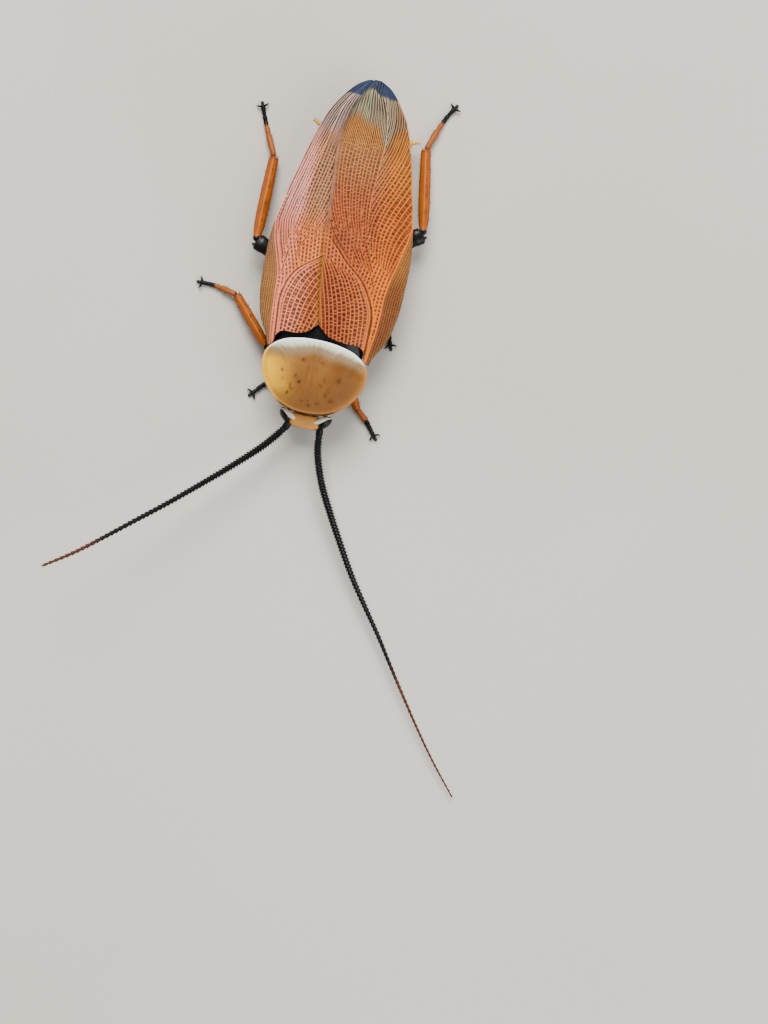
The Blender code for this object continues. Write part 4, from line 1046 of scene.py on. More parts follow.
def make_head():
    rows, sides = 110, 132
    down = np.linspace(0.0, 1.0, rows)
    down = 0.94 * (0.55 * down + 0.45 * smooth_step(down))
    half_width = profile([row[:2] for row in HEAD_SIZES], down)[:, None]
    half_depth = profile([row[::2] for row in HEAD_SIZES], down)[:, None]
    angle = circle(sides)
    cos, sin = np.cos(angle)[None, :], np.sin(angle)[None, :]
    power = 2.0 / (2.3 + 1.5 * (1.0 - ramp(down[:, None], 0.1, 0.25)))
    across = half_width * np.sign(cos) * np.abs(cos) ** power
    out = half_depth * np.sign(sin) * np.abs(sin) ** power
    place = down[:, None] * np.ones((1, sides))
    front = np.clip(sin * 1.6, -1.0, 1.0) * np.ones((rows, 1))
    facing = np.maximum(sin, 0.0)
    relief = np.zeros((rows, sides))
    for side in (1.0, -1.0):
        socket = np.hypot(across - side * SCAPE_ROOT[0], (place - SCAPE_ROOT[1]) * HEAD_LENGTH)
        relief += facing * (0.05 * hump(socket, 0.2, 0.045) - 0.07 * hump(socket, 0.0, 0.14))
        cheek = np.hypot((across - side * 0.62) / 0.3, (place - 0.62) / 0.14)
        relief += 0.04 * np.exp(-cheek ** 2)
    relief += facing * 0.05 * np.exp(-(across / 0.42) ** 2 - ((place - 0.5) / 0.14) ** 2)
    relief -= facing * 0.03 * hump(place, 0.655, 0.012) * (np.abs(across) < 0.5)
    relief += facing * 0.035 * ramp(place, 0.66, 0.03) * ramp(-np.abs(across), -0.42, 0.05)
    seam = hump(across, 0.0, 0.018) * ramp(-place, -0.2, 0.05)
    relief -= 0.012 * seam * facing
    outward_x, outward_f = cos / half_width, sin / half_depth
    size = np.hypot(outward_x, outward_f)
    across = across + relief * outward_x / size
    out = out + relief * outward_f / size
    points = (
        HEAD_CROWN + HEAD_DOWN * (place * HEAD_LENGTH)[..., None]
        + HEAD_ACROSS * across[..., None] + HEAD_FACE * out[..., None]
    )
    paint = head_paint(place.ravel(), front.ravel()).reshape(rows, sides, 3)
    capsule = rings_shape(points[:, ::-1], paint[:, ::-1])
    turn = np.stack([HEAD_ACROSS, HEAD_FACE, -HEAD_DOWN], axis=1)
    tan = srgb(190, 123, 15)

    def lip_pull(ball):
        ball = ball.copy()
        ball[..., 0] *= 1.0 - 0.25 * smooth_step(-ball[..., 2])
        return ball

    parts = [capsule]
    parts.append(egg(on_face(0.0, 0.93, -0.1), (0.36, 0.1, 0.24), tan, turn, 40, 24, lip_pull))
    for side in (1.0, -1.0):
        jaw = HEAD_CROWN + HEAD_DOWN * HEAD_LENGTH * 0.9 + HEAD_ACROSS * side * 0.38
        parts.append(egg(jaw, (0.15, 0.2, 0.3), srgb(125, 74, 32), turn, 32, 20))
        tooth = jaw + HEAD_DOWN * 0.26 - HEAD_ACROSS * side * 0.12 + HEAD_FACE * 0.02
        parts.append(egg(tooth, (0.1, 0.08, 0.12), srgb(49, 28, 18), turn, 20, 12))
        parts.extend(mouth_feeler(side))
        lean = Matrix.Rotation(side * LOBE_TURN, 3, "Z") @ Matrix.Rotation(side * 0.2, 3, "Y")
        parts.append(egg((side * 0.98, -9.55, 1.97), (0.56, 0.18, 0.26), CREAM, np.array(lean), 48, 28))
    neck = Path(NECK_ROUTE, 16)
    share = np.linspace(0.0, 1.0, 60)
    folds = 1.0 + 0.035 * np.sin(share * 34.0)
    parts.append(
        tube(neck, share * neck.length, 0.56 * folds, 0.42 * folds, srgb(102, 66, 41), 48, 2.2)
    )
    chin = HEAD_CROWN + HEAD_DOWN * HEAD_LENGTH * 0.82 - HEAD_FACE * 0.28
    parts.append(egg(chin, (0.4, 0.14, 0.34), srgb(164, 106, 35), turn, 32, 20))
    whole = joined(parts)
    # Painted shadow: the head darkens just under the shield's front edge, where the shield's shade falls on
    # it.
    under_shield = whole.points[:, 1] + 9.5 - 0.12 * whole.points[:, 0] ** 2
    behind = smooth_step(under_shield / 0.06) * ramp(whole.points[:, 2], 1.4, 0.3)
    whole = whole._replace(paint=mixed(whole.paint, NECK_PAINTED_SHADOW, behind * 0.9))
    make_piece("head_capsule", whole, face_look, ("head",))


def segmented_limb(points, shares, sizes, colours, sides=20, gap=0.35, hair=0.0, seed=1):
    """A limb of beads. Each bead has its share of the length, widest size and colour."""
    path = Path(points)
    shares = np.array(shares, float) / np.sum(shares)
    start = 0.0
    places, widths, paint = [], [], []
    for share, size, colour in zip(shares, sizes, colours):
        length = share * path.length
        for part, thick in (
            (0.02, gap), (0.1, 0.72), (0.3, 0.9), (0.6, 1.0), (0.85, 1.0), (0.95, 0.85), (0.99, gap)
        ):
            places.append(start + part * length)
            widths.append(size * thick)
            paint.append(colour)
        start += length
    places = [0.0, *places, path.length]
    widths = [widths[0] * 0.5, *widths, widths[-1] * 0.4]
    paint = [paint[0], *paint, paint[-1]]
    shapes = [tube(path, places, widths, widths, paint, sides)]
    if hair:
        shapes.append(
            hairs_on(path, places, widths, hair, int(path.length * 42), colours[-1] * 0.5, seed)
        )
    return shapes


def hairs_on(path, places, widths, length, count, colour, seed, lean=0.9, first=0.04, radius=0.008):
    """Short hairs all round a limb, which lean towards its tip."""
    rng = np.random.default_rng(seed)
    at = rng.uniform(first, 0.98, count) * path.length
    along = path.direction(at)
    side, lift = frames(along)
    turn = rng.uniform(0.0, 2.0 * math.pi, count)[:, None]
    out = side * np.cos(turn) + lift * np.sin(turn)
    size = np.interp(at, places, widths)[:, None]
    roots = path.at(at) + out * size * 0.85
    reach = length * rng.uniform(0.6, 1.15, count)[:, None]
    tips = roots + unit(out + along * lean) * (reach + size * 0.15)
    tips[:, 2] = np.maximum(tips[:, 2], 0.01)
    roots[:, 2] = np.maximum(roots[:, 2], 0.01)
    return spikes(roots, tips, radius, colour)


def mouth_feeler(side):
    """A labial palp of three beads, under the mouth."""
    root = HEAD_MOUTH - HEAD_DOWN * 0.14 + HEAD_ACROSS * side * 0.16 + HEAD_FACE * 0.02
    bend = HEAD_MOUTH + HEAD_DOWN * 0.02 + HEAD_ACROSS * side * 0.3 + HEAD_FACE * 0.28
    tip = HEAD_MOUTH + HEAD_DOWN * 0.02 + HEAD_ACROSS * side * 0.38 + HEAD_FACE * 0.6
    straw = srgb(169, 100, 21)
    return segmented_limb(
        (root, bend, tip), (0.25, 0.35, 0.4), (0.085, 0.085, 0.095), (straw,) * 3, 14, 0.6, 0.05, 5
    )


PALP = ((0.75, -9.1, 0.85), (1.08, -9.2, 0.7), (1.12, -9.58, 0.5), (0.86, -9.92, 0.35))


def make_palp(name, side):
    points = [(side * x, y, z) for x, y, z in PALP]
    straw, tawny = srgb(101, 62, 33), srgb(74, 43, 24)
    shapes = segmented_limb(
        points, (0.12, 0.12, 0.26, 0.24, 0.26), (0.12, 0.12, 0.12, 0.12, 0.14),
        (straw, straw, straw, tawny, tawny), 20, 0.6, 0.07, 7 if side > 0 else 8,
    )
    make_piece(name + "_beads", joined(shapes), leg_look, (name,))


EYE_ROOT = (1.11, -9.62, 1.74)
EYE_OUT = 0.3
EYE_TURN = -0.73


def make_eye(name, side):
    """A kidney shaped compound eye with its facets."""
    rows, columns = 150, 260
    reach = np.linspace(0.0, 1.0, rows + 1)[1:, None]
    angle = circle(columns)[None, :]
    polar = reach * math.pi * 0.62
    out = np.cos(polar) * np.ones_like(angle)
    around = np.sin(polar)
    y_size = 0.5 - 0.03 * np.cos(angle)
    notch = 1.0 - 0.1 * hump(angle, math.pi, 0.5) * reach
    forward = -around * np.cos(angle) * notch * y_size
    up = around * np.sin(angle) * 0.44
    u, v = polar * np.cos(angle) * 0.45, polar * np.sin(angle) * 0.4
    pitch = 0.042
    row = np.round(v / (pitch * 0.866))
    shift = (row % 2) * 0.5
    across_cell = u / pitch - shift
    du = (across_cell - np.round(across_cell)) * pitch
    dv = v - row * pitch * 0.866
    dome = np.sqrt(np.maximum(1.0 - (du * du + dv * dv) / (0.6 * pitch) ** 2, 0.0))
    swell = 1.0 + 0.012 * dome * (reach < 0.97)
    centre = np.array(EYE_ROOT) * (side, 1.0, 1.0)
    out, forward = (out * EYE_OUT + 0.02) * swell, forward * swell
    across = out * math.cos(EYE_TURN) - forward * math.sin(EYE_TURN)
    along = out * math.sin(EYE_TURN) + forward * math.cos(EYE_TURN)
    points = np.stack([side * across, along, up * swell], axis=-1) + centre
    # The purple patches over the black are partly the eye's own purple-black and partly a painted purple
    # sheen.
    shade = soft_noise(u * 3.0 + 5.0, v * 3.0)
    paint = mixed(BLACK, srgb(41, 27, 48), shade.ravel() ** 2 * 0.7)
    paint = paint.reshape(rows, columns, 3)
    order = slice(None) if side > 0 else slice(None, None, -1)
    shape = rings_shape(points[:, order], paint[:, order])
    make_piece(name + "_facets", shape, eye_look, (name,))


# Feelers

FEELERS = {
    "antenna_right": (
        (-0.93, -10.05, 1.68), (-1.04, -10.36, 1.68), (-1.72, -11.27, 1.75), (-2.42, -12.06, 1.9),
        (-3.85, -13.47, 2.2), (-5.27, -14.8, 2.65), (-6.67, -16.09, 3.15), (-8.07, -17.31, 3.7),
        (-9.44, -18.52, 4.3), (-10.79, -19.67, 4.95), (-12.26, -20.74, 5.8),
    ),
    "antenna_left": (
        (0.95, -10.05, 1.66), (0.97, -10.4, 1.6), (1.12, -11.51, 1.55), (1.71, -13.15, 1.45),
        (2.56, -14.74, 1.3), (3.48, -16.32, 1.15), (4.44, -17.89, 1.0), (5.53, -19.44, 0.93),
        (6.66, -20.98, 0.85), (7.72, -22.54, 0.78), (8.98, -24.36, 0.7), (10.28, -26.17, 0.62),
        (11.47, -27.71, 0.55), (12.86, -29.34, 0.45),
    ),
}
# Radius of each feeler at shares of its length, and where its black turns to rusty brown.
FEELER_SIZES = {
    "antenna_right": (
        (0.0, 0.235), (0.12, 0.235), (0.3, 0.205), (0.5, 0.175), (0.65, 0.155), (0.8, 0.13), (0.92, 0.105),
        (1.0, 0.08),
    ),
    "antenna_left": (
        (0.0, 0.235), (0.2, 0.24), (0.32, 0.215), (0.42, 0.19), (0.5, 0.16), (0.6, 0.13), (0.72, 0.1),
        (0.86, 0.075), (1.0, 0.05),
    ),
}
FEELER_TURN = {"antenna_right": 0.8, "antenna_left": 0.66}
RUSTY = srgb(80, 42, 29)


def make_feeler(name):
    """A bristly feeler: a stout scape, a short pedicel, then ringed segments that widen to their ends."""
    rng = np.random.default_rng(21 if name.endswith("left") else 22)
    side = 1.0 if name.endswith("left") else -1.0
    socket = on_face(np.array(side * SCAPE_ROOT[0]), np.array(SCAPE_ROOT[1]), -0.04)
    route = np.array([socket, *FEELERS[name]])
    path = Path(route)
    scape_end = 0.62
    places, widths = (
        [0.0, 0.02, 0.06, 0.16, 0.4, 0.56, scape_end], [0.1, 0.16, 0.2, 0.22, 0.22, 0.21, 0.17]
    )
    places += [0.64, 0.68, 0.76, 0.81]
    widths += [0.17, 0.2, 0.21, 0.17]
    roots, tips = [], []
    at = 0.82
    while at < path.length - 0.1:
        share = at / path.length
        size = float(profile(FEELER_SIZES[name], share))
        length = np.interp(
            share, (0.0, 0.3, 0.7, 1.0), (0.15, 0.2, 0.3, 0.34)
        ) * rng.uniform(0.93, 1.07)
        for part, thick in ((0.03, 0.62), (0.25, 0.77), (0.7, 0.98), (0.9, 1.04), (0.98, 0.75)):
            places.append(at + part * length)
            widths.append(size * thick)
        count = 9
        turn = circle(count, rng.uniform(0.0, 1.0))[:, None]
        along = path.direction(np.full(count, at))
        sideways, lift = frames(along)
        out = sideways * np.cos(turn) + lift * np.sin(turn)
        root = path.at(np.full(count, at + 0.86 * length)) + out * size * 0.93
        reach = rng.uniform(0.07, 0.11, count)[:, None] * (0.6 + 1.6 * size)
        roots.append(root)
        tips.append(root + unit(out * 0.75 + along) * reach)
        at += length
    places += [path.length - 0.05, path.length]
    widths += [widths[-1] * 0.8, widths[-1] * 0.3]
    share = np.array(places) / path.length
    ring = soft_noise(share * 300.0, share * 0.0)
    turned = smooth_step((share - FEELER_TURN[name]) / 0.1 + 0.5)
    paint = mixed(BLACK, RUSTY, turned * (0.8 + 0.2 * ring))
    shapes = [tube(path, places, widths, widths, paint, 22, floor=0.02)]
    for root, tip in zip(roots, tips):
        share = float(np.linalg.norm(root[0] - route[0]) / np.linalg.norm(route[-1] - route[0]))
        colour = BLACK if share < FEELER_TURN[name] else RUSTY
        tip[:, 2] = np.maximum(tip[:, 2], 0.02)
        shapes.append(spikes(root, tip, 0.011, colour))
    nodes = [f"{name}_{part}" for part in ("base", "middle", "tip")]
    make_piece(name + "_rings", joined(shapes), feeler_look, nodes)


feeler_look = horn_material("feeler_horn", 0.4, 0.05, 0.25, specular=0.12, grain=0.006)


# Legs

Leg = namedtuple("Leg", "root hip knee ankle instep toe")
FOOT_Z = 0.17
LEGS = {
    "front_left": Leg(
        (0.65, -7.55, 0.95), (0.95, -6.3, 0.85), (2.1, -7.25, 1.2),
        (2.75, -8.4, 0.45), (3.45, -9.0, FOOT_Z), (4.1, -9.8, FOOT_Z),
    ),
    "front_right": Leg(
        (-0.65, -7.55, 0.95), (-0.95, -6.3, 0.85), (-2.25, -6.8, 1.2),
        (-1.85, -8.0, 0.45), (-2.75, -8.05, FOOT_Z), (-3.48, -8.8, FOOT_Z),
    ),
    "mid_left": Leg(
        (0.65, -5.1, 0.95), (1.15, -4.1, 0.85), (2.5, -5.3, 1.3),
        (2.65, -3.0, 0.5), (3.45, -3.3, FOOT_Z), (3.92, -4.45, FOOT_Z),
    ),
    "mid_right": Leg(
        (-0.65, -5.3, 0.95), (-1.5, -4.25, 0.85), (-3.0, -6.1, 1.3),
        (-5.46, -3.35, 0.5), (-6.8, -3.05, FOOT_Z), (-7.75, -3.02, FOOT_Z),
    ),
    "hind_left": Leg(
        (0.75, -3.15, 0.95), (1.95, -1.75, 0.85), (4.42, 2.2, 1.35),
        (3.55, 7.19, 0.5), (4.22, 9.1, FOOT_Z), (4.74, 10.03, FOOT_Z),
    ),
    "hind_right": Leg(
        (-0.75, -3.15, 0.95), (-1.75, -2.1, 0.85), (-4.9, -0.2, 1.6),
        (-5.0, 4.94, 0.5), (-5.86, 6.75, FOOT_Z), (-6.32, 7.86, FOOT_Z),
    ),
}
COXA_SIZE = {"front": (0.4, 0.34), "mid": (0.44, 0.34), "hind": (0.55, 0.34)}
FEMUR_SIZE = {"front": (0.32, 0.25), "mid": (0.36, 0.26), "hind": (0.47, 0.3)}
# Where the two hind femora bend a little, so that their ends point as they do under the wings' edges.
FEMUR_BEND = {"hind_left": (3.45, 1.3, 1.3), "hind_right": (-3.85, -0.68, 1.5)}
TIBIA_SIZE = {"front": 0.21, "mid": 0.24, "hind": 0.27}
SPINE_COUNT = {"front": 9, "mid": 14, "hind": 20}
TARSOMERES = (0.44, 0.14, 0.11, 0.09, 0.22)
# Share of each foot, from the ankle, that is orange before it turns black.
ORANGE_SHARE = {
    "front_left": 0.42, "front_right": 0.3, "mid_left": 0.1, "mid_right": 0.62, "hind_left": 0.6,
    "hind_right": 0.62,
}
ORANGE = srgb(150, 73, 4)
ORANGE_EDGE = srgb(120, 55, 18)
# Colour of the painted highlight line along the shins.
ORANGE_PAINTED_HIGHLIGHT = srgb(169, 91, 2)


def make_coxa(name, leg):
    pair = name.split("_")[0]
    wide, high = COXA_SIZE[pair]
    path = Path((leg.root, leg.hip), 24)
    share = np.linspace(0.0, 1.0, 40)
    form = profile(
        ((0.0, 0.5), (0.08, 0.85), (0.25, 1.0), (0.6, 0.9), (0.85, 0.62), (0.96, 0.42), (1.0, 0.15)),
        share
    )
    ridge = lambda angle, at: 0.05 * np.cos(2.0 * angle + 0.6) - 0.03 * hump(at, 0.86, 0.02)
    paint = mixed(CHESTNUT, srgb(146, 99, 44), hump(share, 0.95, 0.05))
    shapes = [tube(path, share * path.length, wide * form, high * form, paint, 40, 2.3, relief=ridge)]
    shapes.append(hairs_on(path, share * path.length, high * form, 0.09, 60, CHESTNUT * 0.5, len(name)))
    make_piece("coxa_" + name + "_horn", joined(shapes), belly_look, ("coxa_" + name,))


def make_femur(name, leg):
    """Trochanter and femur, with the knee's two lobes round the shin's root."""
    pair = name.split("_")[0]
    wide, high = FEMUR_SIZE[pair]
    path = Path((leg.hip, FEMUR_BEND.get(name, (np.array(leg.hip) + leg.knee) / 2.0), leg.knee), 24)
    share = np.concatenate(
        [np.linspace(0.0, 0.12, 14), np.linspace(0.13, 0.86, 36), np.linspace(0.87, 1.0, 20)]
    )
    form = profile((
        (0.0, 0.3), (0.03, 0.52), (0.07, 0.6), (0.1, 0.5), (0.15, 0.72), (0.3, 0.95), (0.45, 1.0),
        (0.7, 0.9), (0.82, 0.96), (0.93, 1.04), (0.98, 0.9), (1.0, 0.5),
    ), share)
    keel = lambda angle, at: (
        0.04 * np.cos(angle * 3.0) - 0.05 * hump(
            np.mod(angle, math.pi), 0.25, 0.16
        ) * (at > 0.15) * (at < 0.9)
    )
    dark = ramp(share, 0.3, 0.3)
    paint = mixed(srgb(63, 32, 19), BLACK, dark)
    places = share * path.length
    shapes = [tube(path, places, wide * form, high * form, paint, 44, 2.2, relief=keel)]
    hairs = int(46 * path.length)
    shapes.append(hairs_on(path, places, high * form, 0.1, hairs, BLACK, len(name) + 3, first=0.15))
    along = path.direction(path.length)
    side = unit(np.cross(along, UP))
    for turn in (1.0, -1.0):
        lobe = np.array(leg.knee) - along * 0.1 + side * turn * wide * 0.52
        axes = np.stack([side, along, np.cross(side, along)], axis=1)
        shapes.append(egg(lobe, (0.1, 0.22, high * 0.72), BLACK, axes, 24, 14))
    make_piece("femur_" + name + "_horn", joined(shapes), black_look, ("femur_" + name,))


THORN_SHARES = np.array((0.0, 0.15, 0.45, 0.75, 0.97, 1.0))
THORN_SIZES = np.array((0.028, 0.032, 0.024, 0.015, 0.007, 0.003))
SPUR_COLOUR = srgb(80, 43, 22)


def thorn(points, root_colour, tip_colour):
    """A stout tapered spine along three points."""
    path = Path(points, 4)
    colour = mixed(root_colour, tip_colour, smooth_step(THORN_SHARES * 1.4 - 0.3))
    return tube(path, THORN_SHARES * path.length, THORN_SIZES, THORN_SIZES, colour, 8)


def make_tibia(name, leg):
    """Shin with long keels and rows of movable spines that lean to the foot."""
    pair = name.split("_")[0]
    size = TIBIA_SIZE[pair]
    path = Path((leg.knee, leg.ankle), 24)
    share = np.concatenate(
        [np.linspace(0.0, 0.1, 16), np.linspace(0.115, 0.93, 52), np.linspace(0.94, 1.0, 12)]
    )
    form = profile((
        (0.0, 0.45), (0.02, 0.75), (0.05, 0.8), (0.1, 0.92), (0.25, 1.1), (0.5, 1.14), (0.75, 1.08),
        (0.9, 1.0), (0.96, 0.98), (0.99, 0.8), (1.0, 0.4),
    ), share)
    keel = lambda angle, at: (
        0.07 * np.cos(angle * 4.0) + 0.035 * np.cos(angle * 8.0)
    ) * ramp(at, 0.06, 0.1)
    sides = 56
    angle = circle(sides, 0.5)
    # A painted highlight: a lighter line along the top of the shin.
    paint = mixed(ORANGE, ORANGE_PAINTED_HIGHLIGHT, hump(angle, math.pi / 2.0, 0.22) * 0.25)
    paint = mixed(paint, ORANGE_EDGE, np.abs(np.cos(angle)) ** 6 * 0.6)
    ends = ramp(share, 0.93, 0.05) + ramp(-share, -0.05, 0.03)
    paint = mixed(paint, srgb(94, 41, 20), ends[:, None] * 0.6)
    streaks = soft_noise(angle[None, :] * 5.0, share[:, None] * 9.0 + len(name))
    paint = mixed(paint, srgb(90, 41, 17), ramp(streaks, 0.6, 0.25) * 0.4)
    paint = mixed(paint, BLACK, ramp(-share, -0.05, 0.015)[:, None])
    places = share * path.length
    widths, heights = size * form, size * form * 0.86
    shapes = [tube(path, places, widths, heights, paint, sides, 2.2, relief=keel)]
    rng = np.random.default_rng(sum(map(ord, name)))
    count = SPINE_COUNT[pair]
    at = (0.14 + 0.8 * (np.arange(count) + rng.uniform(-0.2, 0.2, count)) / count) * path.length
    turn = np.array(
        [(0.25, math.pi - 0.25, 1.2, math.pi + 0.5, -0.5)[k % 5] for k in range(count)]
    )[:, None]
    along = path.direction(at)
    side, lift = frames(along)
    out = side * np.cos(turn) + lift * np.sin(turn)
    thick = np.interp(at, places, widths)[:, None]
    lean = rng.uniform(1.1, 1.7, count)[:, None]
    reach = rng.uniform(0.2, 0.34, count)[:, None] * (0.8 if pair == "front" else 1.0)
    roots = path.at(at) + out * thick * 0.8
    for root, way, forward, long in zip(roots, out, along, reach):
        tip_way = unit(way + forward * lean[0])
        bend = root + tip_way * long * 0.55 + way * 0.03
        tip = root + tip_way * long
        shapes.append(thorn((root - way * 0.05, bend, tip), srgb(118, 59, 21), srgb(74, 37, 19)))
    ends_at = path.at(path.length * 0.985)
    forward = along[-1]
    for turn in np.linspace(0.3, 2.0 * math.pi + 0.3, 6)[:-1]:
        way = side[-1] * math.cos(turn) + lift[-1] * math.sin(turn)
        root = ends_at + way * size * 0.6
        tip = root + unit(forward + way * 0.45) * 0.26
        tip[2] = max(tip[2], 0.02)
        middle = (root + tip) / 2 + way * 0.02
        shapes.append(thorn((root - forward * 0.04, middle, tip), SPUR_COLOUR, SPUR_COLOUR))
    shapes.append(
        hairs_on(path, places, heights, 0.09, int(60 * path.length), ORANGE_EDGE * 0.6, len(name) + 11)
    )
    make_piece("tibia_" + name + "_horn", joined(shapes), leg_look, ("tibia_" + name,))


def make_foot(name, leg):
    """Five tarsomeres with pads below, then the claws with the lobe between them."""
    path = Path((leg.ankle, leg.instep, leg.toe), 16)
    start = 0.0
    share, form = [0.0, 0.01], [0.3, 0.55]
    for k, part in enumerate(TARSOMERES):
        thick = (1.16, 0.95, 0.84, 0.84, 0.8)[k]
        for step, size in (
            (0.03, 0.72), (0.15, 0.86), (0.5, 0.9), (0.86, 1.0), (0.96, 0.96), (0.995, 0.66)
        ):
            share.append(start + step * part)
            form.append(size * thick)
        start += part
    share.append(1.0)
    form.append(0.3)
    share, form = np.array(share), np.array(form)
    radius = 0.165
    black = smooth_step((share - ORANGE_SHARE[name]) / 0.05 + 0.5)
    paint = mixed(srgb(141, 76, 32), BLACK, black)
    places = share * path.length
    shapes = [tube(path, places, radius * form, radius * form, paint, 28, floor=0.0)]
    start = 0.0
    for k, part in enumerate(TARSOMERES[:4]):
        end = start + part
        pad = path.at((end - 0.03) * path.length)
        if pad[2] < 0.24:
            colour = srgb(163, 109, 47) if end < ORANGE_SHARE[name] else srgb(48, 41, 39)
            along = path.direction(end * path.length)
            side = unit(np.cross(along, UP))
            axes = np.stack([side, along, np.cross(side, along)], axis=1)
            centre = np.array([pad[0], pad[1], 0.065])
            shapes.append(egg(centre, (0.1, 0.11, 0.065), colour, axes, 20, 12))
        start = end
    shapes.extend(foot_claws(leg))
    sizes = radius * form
    shapes.append(hairs_on(path, places, sizes, 0.1, int(60 * path.length), BLACK, len(name) + 17))
    make_piece(
        "tarsus_" + name + "_horn", joined(shapes), feeler_look, ("tarsus_" + name,)
    )


def foot_claws(leg):
    toe, instep = np.array(leg.toe), np.array(leg.instep)
    along = unit((toe - instep) * (1.0, 1.0, 0.0))
    side = unit(np.cross(along, UP))
    shapes = []
    for turn in (1.0, -1.0):
        way = unit(along * 0.2 + side * turn)
        root = toe - along * 0.1 + side * turn * 0.04 + UP * 0.02
        middle = root + way * 0.2 + UP * 0.04
        tip = root + way * 0.34 + along * 0.08 - UP * 0.12
        path = Path((root, middle, tip), 10)
        share = np.linspace(0.0, 1.0, 12)
        sizes = 0.09 * (1.0 - share) ** 0.6 + 0.006
        shapes.append(tube(path, share * path.length, sizes * 0.8, sizes, BLACK, 16, floor=0.005))
    axes = np.stack([side, along, UP], axis=1)
    shapes.append(egg(toe + along * 0.1 - UP * 0.06, (0.1, 0.13, 0.05), srgb(38, 31, 28), axes, 24, 14))
    return shapes


# Thorax and abdomen

def make_thorax():
    """The three rings of the thorax under the shield and wings, with their plates parted by pale skin."""
    stations = (
        (-9.0, 0.5, 1.85, 2.3), (-8.75, 0.72, 1.8, 2.5), (-8.3, 1.15, 1.6, 2.66), (
            -7.4, 1.55, 1.5, 2.85
        ),
        (-6.6, 1.7, 1.5, 2.9), (-6.05, 1.65, 1.5, 2.8), (-5.8, 1.8, 1.5, 2.6), (-5.3, 2.05, 1.5, 2.65),
        (-4.6, 2.25, 1.5, 2.7), (-3.9, 2.3, 1.48, 2.75), (-3.2, 2.36, 1.45, 2.8), (
            -2.4, 2.42, 1.42, 2.8
        ),
        (-1.75, 2.4, 1.38, 2.75), (-1.3, 2.3, 1.35, 2.6),
    )
    y = np.linspace(-9.0, -1.3, 150)
    table = np.array(stations)
    wide = profile(table[:, :2], y)
    low = profile(table[:, [0, 2]], y)
    high = profile(table[:, [0, 3]], y)
    seams = np.zeros_like(y)
    for seam in (-6.15, -5.75, -3.95, -3.6, -1.7):
        seams = np.maximum(seams, hump(y, seam, 0.07))
    path = Path(np.stack([0.0 * y, y, (low + high) / 2.0], axis=1), 1)
    sides = 96
    angle = circle(sides, 0.5)
    below = smooth_step(-np.sin(angle) * 1.5)[None, :]
    keel = 0.03 * hump(angle, 1.5 * math.pi, 0.12)[None, :] * np.ones((len(y), 1))
    flank = (hump(np.abs(np.cos(angle)), 0.86, 0.1) * (np.sin(angle) < 0))[None, :]
    relief = keel - 0.035 * seams[:, None] - 0.02 * flank
    skin = np.maximum(seams[:, None], flank)
    paint = mixed(srgb(101, 62, 34), srgb(137, 99, 62), skin * 0.8)
    paint = mixed(paint, srgb(79, 45, 26), below * (1.0 - skin) * 0.5)
    shape = tube(
        path, path.travelled, wide, (high - low) / 2.0, paint, sides, 2.3,
        relief=lambda angle, at: relief,
    )
    make_piece("thorax_rings", shape, belly_look, ("prothorax", "mesothorax", "metathorax"))


ABDOMEN_OUTLINE = (
    (-1.5, 2.3), (0.0, 2.75), (2.0, 2.9), (4.0, 2.65), (5.5, 2.05), (6.4, 1.45), (6.9, 0.9), (7.1, 0.35),
)
SEGMENT_EDGES = (-1.5, -0.6, 0.4, 1.4, 2.4, 3.4, 4.35, 5.2, 5.95, 6.55, 7.12)


def make_abdomen():
    """Overlapping rings with pale rear margins, flatter below, with folded flanks."""
    y, form, margin = [], [], []
    for front, rear in zip(SEGMENT_EDGES, SEGMENT_EDGES[1:]):
        for share in np.linspace(0.0, 0.97, 16):
            y.append(front + share * (rear - front))
            form.append(0.962 + 0.045 * smooth_step(share / 0.9))
            margin.append(float(ramp(share, 0.78, 0.1)))
    y, form, margin = np.array(y), np.array(form), np.array(margin)
    wide = profile(ABDOMEN_OUTLINE, y) * form
    close = ramp(-y, -7.15, 0.9)
    high = crest_z(y) - 1.0 - 0.35 * (1.0 - close)
    low = 0.92 + 0.3 * smooth_step(-y / 2.0) + 0.25 * (1.0 - close)
    tall = (high - low) / 2.0 * form
    path = Path(np.stack([0.0 * y, y, (low + high) / 2.0], axis=1), 1)
    sides = 128
    angle = circle(sides, 0.5)
    fold = np.mod(angle, math.pi)
    flank = hump(fold, 0.0, 0.16) + hump(fold, math.pi, 0.16)
    paint = mixed(srgb(58, 31, 20), srgb(101, 56, 31), smooth_step(np.sin(angle) * 2.0 + 0.5))
    paint = mixed(paint, srgb(195, 134, 26), margin[:, None] * 0.75)
    paint = mixed(paint, srgb(166, 102, 19), flank * 0.7)
    shapes = [tube(
        path, path.travelled, wide, tall, paint, sides, 2.25, relief=lambda angle, at: 0.04 * flank,
    )]
    for side in (1.0, -1.0):
        stylus = Path(((side * 0.45, 6.75, 1.15), (side * 0.62, 7.15, 1.05), (side * 0.7, 7.4, 1.0)), 8)
        share = np.linspace(0.0, 1.0, 14)
        sizes = 0.07 * (1.0 - share ** 2.5) + 0.008
        shapes.append(tube(stylus, share * stylus.length, sizes, sizes, STRAW, 14))
    make_piece("abdomen_rings", joined(shapes), belly_look, ("abdomen",))


CERCUS = ((1.25, 6.77, 1.15), (2.3, 7.1, 1.1), (3.15, 7.4, 1.2))


